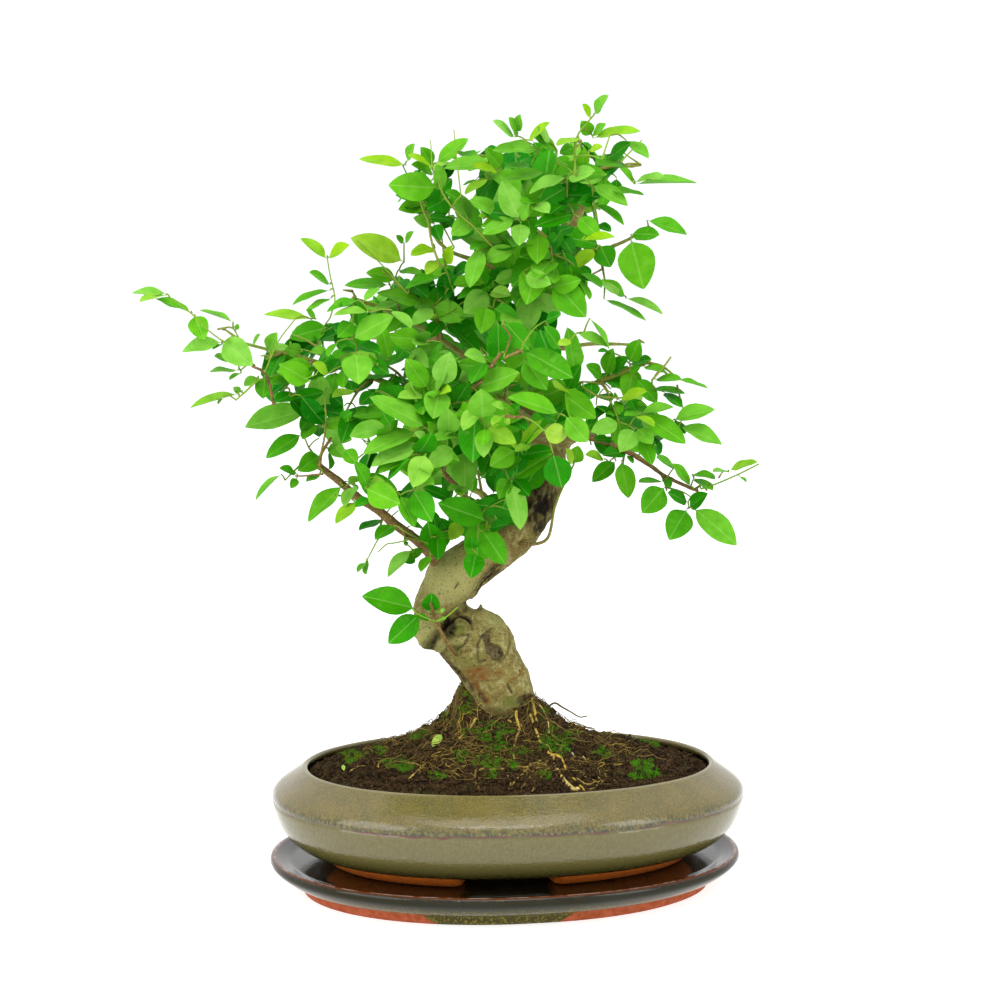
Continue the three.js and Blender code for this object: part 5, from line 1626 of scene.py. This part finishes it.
def twig_leaves(way, bare, spacing, taken, rng):
    """Leaves in opposite pairs along a twig from where it stops being bare, each pair turned a quarter
    from the last, and a smaller pair with a leaf between them at the tip."""
    pairs = max(1, round(way_length(way) * (1 - bare) / spacing))
    leaves = []
    quarter = rng.uniform(0, np.pi)
    for pair in range(pairs + 1):
        share = bare + (1 - bare) * pair / pairs
        point, ahead = along(way, min(share, 0.999))
        last = pair == pairs
        size = (0.75 if last else 1) * rng.uniform(0.85, 1.12)
        young = ramp(0.5, 1, share)
        turn = quarter + pair * np.pi / 2
        for hand in (-1, 1, 0) if last else (-1, 1):
            leaves.append(placed_leaf(point, ahead, turn, hand, 32 * size, young, taken, rng))
    return [leaf for leaf in leaves if leaf]


def placed_leaf(point, ahead, turn, hand, length, young, taken, rng):
    """A leaf at a place on a twig, to one side of it or straight ahead. It leans another way, and
    grows smaller, until it has room, or isn't made."""
    level = unit(np.cross(ahead, [0, 0, 1]))
    upright = np.cross(level, ahead)
    for trial in range(6):
        way = turn + rng.normal(0, 0.2 + 0.25 * trial)
        around = level * np.cos(way) + upright * np.sin(way) * 0.6
        heading = unit(ahead * (0.5 + 0.1 * trial) + around * hand * 0.85
                       + [0, 0, rng.uniform(-0.35, 0.12)])
        leaf = new_leaf(point, heading, facing_up(point, rng), length * 0.93 ** trial, young, rng)
        if has_room(leaf, taken):
            return leaf
    return None


def new_leaf(base, ahead, up, length, young, rng):
    """One leaf's numbers, with a little of its own in each."""
    return {
        "base": base,
        "ahead": ahead,
        "up": up,
        "length": length,
        "width": length * rng.uniform(0.52, 0.66),
        "fold": rng.uniform(0.1, 0.45),
        "droop": rng.uniform(0.02, 0.2),
        "wave": rng.uniform(0, 0.12),
        "tone": float(np.clip(rng.normal(0.22, 0.15) + 0.3 * young, 0, 1)),
    }


def on_leaf(leaf, ahead, aside=0):
    """Places in the picture of points on a leaf: shares of its length along its midrib, and shares of
    its width to the side."""
    side = unit(np.cross(leaf["up"], leaf["ahead"])) * leaf["width"]
    ahead, aside = (np.asarray(shares)[..., None] for shares in (ahead, aside))
    return picture(leaf["base"] + leaf["ahead"] * leaf["length"] * ahead + side * aside)


def leaf_places(leaf):
    """Seven places of a leaf in the picture: three along its midrib and four beside it."""
    return on_leaf(leaf, [0.2, 0.45, 0.45, 0.45, 0.75, 0.75, 0.97], [0, 0, -0.4, 0.4, -0.25, 0.25, 0])


def fits_core(leaf):
    """Whether a leaf stays within the crown's dense part, its front and its back, and out of its
    windows."""
    places = leaf_places(leaf)
    tip = leaf["base"] + leaf["ahead"] * leaf["length"]
    deep = CROWN_FRONT < tip[1] < CROWN_BACK
    return deep and inside(places, CROWN_CORE).all() and not in_window(places).any()


def has_room(leaf, taken):
    """Whether a leaf fits the crown and doesn't stand before a leaf of SEEN_LEAVES."""
    if not fits_core(leaf):
        return False
    places = leaf_places(leaf)
    middle = places[1]
    reach = np.linalg.norm(places[-1, :2] - places[0, :2])
    near = np.linalg.norm(taken[:, :2] - middle[:2], axis=1) < 0.36 * (reach + taken[:, 3])
    return not (near & (middle[2] < taken[:, 2] + 4)).any()


def seen_leaf(row, behind, rng):
    """A leaf that looks in the picture like a row of SEEN_LEAVES. Where it seems too short or narrow
    for a leaf, its tip comes nearer, or at the crown's front goes back, or its blade turns edgeways."""
    across, down, right, below, width, tone = row
    base, tip = seen([(across, down, behind), (across + right, down + below, behind)])
    shown = np.linalg.norm(tip - base)
    wide = width * (EYE_DISTANCE + behind) / EYE_FOCUS
    length = max(shown * 1.02, wide / 0.64, min(20, 1.4 * shown))
    sight = unit(EYE_CENTRE + EYE_DISTANCE * EYE_BACK - base)
    lean = np.sqrt(length ** 2 - shown ** 2)
    lean = -lean if tip[1] - lean < CROWN_FRONT else lean
    ahead = unit(tip - base + sight * lean)
    face = unit(sight - (sight @ ahead) * ahead)
    side = np.cross(ahead, face)
    side = side * (1 if side[2] > 0 else -1)
    broad = max(wide, 0.54 * length)
    turned = wide / broad
    leaf = new_leaf(base, ahead, face * turned + side * np.sqrt(1 - turned ** 2), length, 0, rng)
    leaf.update(width=broad * 1.06, fold=rng.uniform(0.12, 0.4), droop=rng.uniform(0, 0.06),
                tone=tone / 100)
    return leaf


def twig_marks(sprays):
    """Places in the picture all along the sprays' twigs, and the name of the spray of each."""
    ways = [(name, picture(way)) for name, spray in sprays.items()
            for way in spray["mains"] + spray["sides"]]
    return np.concatenate([places for _, places in ways]), [name for name, places in ways for _ in places]


def grow_seen(sprays, rng):
    """Joins the twigs and leaves that the front shows to the sprays, starting with whichever is
    nearest in the picture to a twig, so that each also grows on those joined before it. A spray nearer
    to the eye is preferred, and pale leaves stand before dark ones."""
    marks, owners = twig_marks(sprays)
    marks = np.concatenate([marks, marks[:, 2:]], 1)
    rows = [(twig[3][0], twig) for twig in SEEN_TWIGS] + [(leaf[:2], leaf) for leaf in SEEN_LEAVES]
    starts = np.array([start for start, _ in rows], float)

    def scores(among):
        """For each row, the mark of least gap plus a fifth of its spray's depth, and that sum, less
        1000 for a twig."""
        gap = np.linalg.norm(starts[:, None] - among[None, :, :2], axis=-1)
        table = gap + 0.2 * among[None, :, 3]
        least = table.min(1)
        least[:len(SEEN_TWIGS)] -= 1000
        return table.argmin(1), least

    nearest, best = scores(marks)
    taken = []
    for _ in rows:
        number = int(best.argmin())
        row = rows[number][1]
        anchor = marks[nearest[number]]
        owner = owners[nearest[number]]
        spray = sprays[owner]
        ground = anchor[3]
        if number < len(SEEN_TWIGS):
            thick, thin, young, places = row
            depth = min(anchor[2], ground) - 12
            way = smooth_way(seen([(*place, depth) for place in places]), 12)
            spray["stalks"].append((way, thick, thin, young, young))
        else:
            depth = ground - 20 * (row[5] / 100 - 0.3)
            leaf = seen_leaf(row, depth, rng)
            spray["leaves"].append(leaf)
            taken.append((*on_leaf(leaf, [0.5])[0], np.hypot(row[2], row[3])))
            way = leaf["base"][None]
        root = seen([anchor[:3]])[0]
        reach = np.linalg.norm(way[0] - root)
        if reach > 1:
            bend = (root + way[0]) / 2 + [0, 0, 0.08 * reach]
            stalk = smooth_way([root, bend, way[0]], 7)
            spray["stalks"].append((stalk, 0.6, 0.45, 0.6, 1))
            way = np.concatenate([stalk, way])
        added = picture(way)
        added = np.concatenate([added, np.full((len(added), 1), ground)], 1)
        best[number] = np.inf
        place, least = scores(added)
        closer = np.isfinite(best) & (least < best)
        nearest = np.where(closer, len(marks) + place, nearest)
        best = np.where(closer, least, best)
        marks = np.concatenate([marks, added])
        owners += [owner] * len(added)
    return np.array(taken)


def fill_crown(sprays, rng):
    """Closes the crown where the front would look through it: at each place of a fine grid that no leaf
    covers and that isn't in a window, a shaded leaf reaches out from the nearest twig behind the front
    leaves."""
    marks, owners = twig_marks(sprays)
    across, down = np.meshgrid(np.arange(130, 765, 3.5), np.arange(95, 580, 3.5))
    grid = np.stack([across.ravel(), down.ravel()], -1)
    held = np.all([inside(grid + step, CROWN_CORE) for step in product((-3, 0, 3), repeat=2)], axis=0)
    grid = grid[held & ~in_window(grid)]

    def covered(leaf):
        """Which places of the grid lie within the half ellipses to either side of a leaf's midrib."""
        start, end = on_leaf(leaf, [0.1, 0.95])[:, :2]
        edge, middle = on_leaf(leaf, [0, 0], [0.5, 0])[:, :2]
        half = max(np.linalg.norm(edge - middle), 1)
        step = end - start
        share = ((grid - start) @ step) / (step @ step + 1e-6)
        gap = np.linalg.norm(grid - start - np.clip(share, 0, 1)[:, None] * step, axis=1)
        bulge = np.sqrt(np.clip(1 - (2 * share - 1) ** 2, 0, 1))
        return (share > 0) & (share < 1) & (gap < half * bulge)

    bare = np.ones(len(grid), bool)
    for spray in sprays.values():
        for leaf in spray["leaves"]:
            bare &= ~covered(leaf)
    for number in rng.permutation(len(grid)):
        if not bare[number]:
            continue
        goal = grid[number]
        gap = np.linalg.norm(marks[:, :2] - goal, axis=1)
        nearest = int((gap + 0.35 * np.abs(marks[:, 2] + 12) + 20 * (gap < 7)).argmin())
        spray = sprays[owners[nearest]]
        start = seen([marks[nearest]])[0]
        centre = seen([(*goal, marks[nearest, 2] + rng.uniform(-4, 10))])[0]
        length = float(np.clip(1.7 * np.linalg.norm(centre - start), 20, 34))
        for _ in range(8):
            ahead = unit(unit(centre - start) + rng.normal(0, 0.3, 3))
            base = centre - ahead * length * rng.uniform(0.35, 0.6)
            up = unit(EYE_BACK + [0, 0, 0.5] + rng.normal(0, 0.35, 3))
            leaf = new_leaf(base, ahead, up, length, 0, rng)
            if fits_core(leaf):
                break
            length *= 0.9
        else:
            continue
        # painted shade: the leaves that fill the crown behind the front ones are darker
        leaf["tone"] *= 0.8
        spray["leaves"].append(leaf)
        if np.linalg.norm(base - start) > 1.5:
            stalk = smooth_way([start, (start + base) / 2 + [0, 0, 1], base], 6)
            spray["stalks"].append((stalk, 0.5, 0.4, 0.8, 1))
        bare &= ~covered(leaf)


def twig_shape(way, thick, thin, first, last, sides=5):
    """A twig's tube, with its youth from one end to the other."""
    shape = tube(way, np.linspace(thick, thin, len(way)), sides)
    return with_values(shape, young=youth(first, last, len(way), sides))


def make_spray(name, node, spray, wood, blade):
    """A spray's two pieces: its twigs and its leaves."""
    thick, thin, young = (1.5, 1.1, 0) if name == "trunk_sprout" else (1.15, 0.55, 0.8)
    stems = [twig_shape(way, thick, thin, 0, young, 6) for way in spray["mains"]]
    stems += [twig_shape(way, 0.7, 0.45, 0.3, 1) for way in spray["sides"]]
    stems += [twig_shape(*stalk) for stalk in spray["stalks"]]
    make_piece(f"twigs_{name}", join(stems), wood, "bark", node)
    if spray["leaves"]:
        make_piece(f"leaves_{name}", leaf_blades(spray["leaves"]), blade, "leaf", node)


def borne(way, grown):
    """How many points a twig has as far as the last leaf or stalk that grows on it."""
    near = np.linalg.norm(way[:, None] - np.array(grown), axis=-1).min(1) < 2.8
    return int(np.flatnonzero(near)[-1]) + 1 if near.any() else 0


def make_foliage(wood, blade):
    """All sprays and shoots: first their twigs, then what the front shows of them, then the leaves
    that fill the crown behind and between."""
    sprays = {}
    for number, name in enumerate([*SPRAYS, *SHOOTS]):
        rng = np.random.default_rng(100 + number)
        shoot = name in SHOOTS
        mains = [smooth_way(seen(SHOOTS[name]), 30)] if shoot else twig_ways(name)
        sides = [] if shoot else [way for main in mains for way in side_twigs(main, rng)]
        sprays[name] = {"mains": mains, "sides": sides, "stalks": [], "leaves": [], "rng": rng}
    taken = grow_seen(sprays, np.random.default_rng(99))
    growing = {name: spray for name, spray in sprays.items() if name in SPRAYS}
    for spray in growing.values():
        for way in spray["mains"]:
            spray["leaves"] += twig_leaves(way, 0.4, 12.5, taken, spray["rng"])
        for way in spray["sides"]:
            spray["leaves"] += twig_leaves(way, 0.45, 11, taken, spray["rng"])
    fill_crown(growing, np.random.default_rng(98))
    for spray in growing.values():
        grown = [spray["mains"][0][0], *(leaf["base"] for leaf in spray["leaves"])]
        grown += [stalk[0][0] for stalk in spray["stalks"]]
        spray["mains"] = [way[:max(8, borne(way, grown))] for way in spray["mains"]]
        sides = [way[:borne(way, grown)] for way in spray["sides"]]
        spray["sides"] = [way for way in sides if len(way) > 3]
    for name, spray in sprays.items():
        make_spray(name, name if name in SHOOTS else f"spray_{name}", spray, wood, blade)


# The view

def make_stage():
    """A pale floor, and soft light from above, from the front and from both sides."""
    ring = circle(96) * 12000
    shape = skin(np.stack([ring * 0.5, ring])[::-1] - [0, 0, 0.1], None, np.array([0, 0, -0.1]))
    floor = add_object("paper_floor", make_mesh("paper_floor", shape))
    floor.data.materials.append(studio_paper())
    world = bpy.data.worlds.new("studio")
    world.use_nodes = True
    air = world.node_tree.nodes["Background"].inputs
    air["Color"].default_value = linear("#FFFFFF")
    air["Strength"].default_value = 1.1
    bpy.context.scene.world = world
    lamps = [
        ("top_light", (0, -0.5, 1.7), 1.2, 1.0, 6),
        ("left_light", (-1.5, -0.8, 0.85), 1.2, 1.5, 17),
        ("right_light", (1.2, -1.15, 0.8), 0.65, 1.3, 9),
        ("front_light", (-0.05, -1.1, 1.6), 0.9, 0.35, 5),
    ]
    for name, place, width, height, power in lamps:
        light = bpy.data.lights.new(name, "AREA")
        light.shape = "RECTANGLE"
        light.size = width
        light.size_y = height
        light.energy = power
        back = unit(np.array(place) - [0, 0, 0.2])
        across = unit(np.cross([0, 0, 1], back))
        stand(add_object(name, light), across, np.cross(back, across), back, place)


def make_camera():
    """The camera of the front view."""
    lens = bpy.data.cameras.new("front_camera")
    lens.sensor_width = 36
    lens.lens = lens.sensor_width * EYE_FOCUS / PICTURE_SIZE
    lens.shift_x = -(PICTURE_MIDDLE[0] - PICTURE_SIZE / 2) / PICTURE_SIZE
    camera = add_object("front_camera", lens)
    stand(camera, EYE_RIGHT, EYE_UP, EYE_BACK, (EYE_CENTRE + EYE_BACK * EYE_DISTANCE) * MM)
    bpy.context.scene.camera = camera
    bpy.context.scene.view_settings.view_transform = "Standard"


make_camera()
make_stage()

wood = twig_bark()
blade = leaf_blade()
roots = root_skin()
ground = peat()
make_pot(pot_glaze())
make_saucer(saucer_glaze())
screen = mesh_plastic()
for side in ("left", "right"):
    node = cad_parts[f"drain_screen_{side}"]
    node.data.materials.clear()
    node.data.materials.append(screen)
make_soil(ground)
make_crumbs(ground, np.random.default_rng(1))
make_moss(moss_green(), np.random.default_rng(2))
make_rootlets(roots, np.random.default_rng(3))
make_hidden_roots(roots)
make_trunk(trunk_bark())
make_limbs(wood)
make_foliage(wood, blade)
make_fallen_leaf(blade, np.random.default_rng(4))
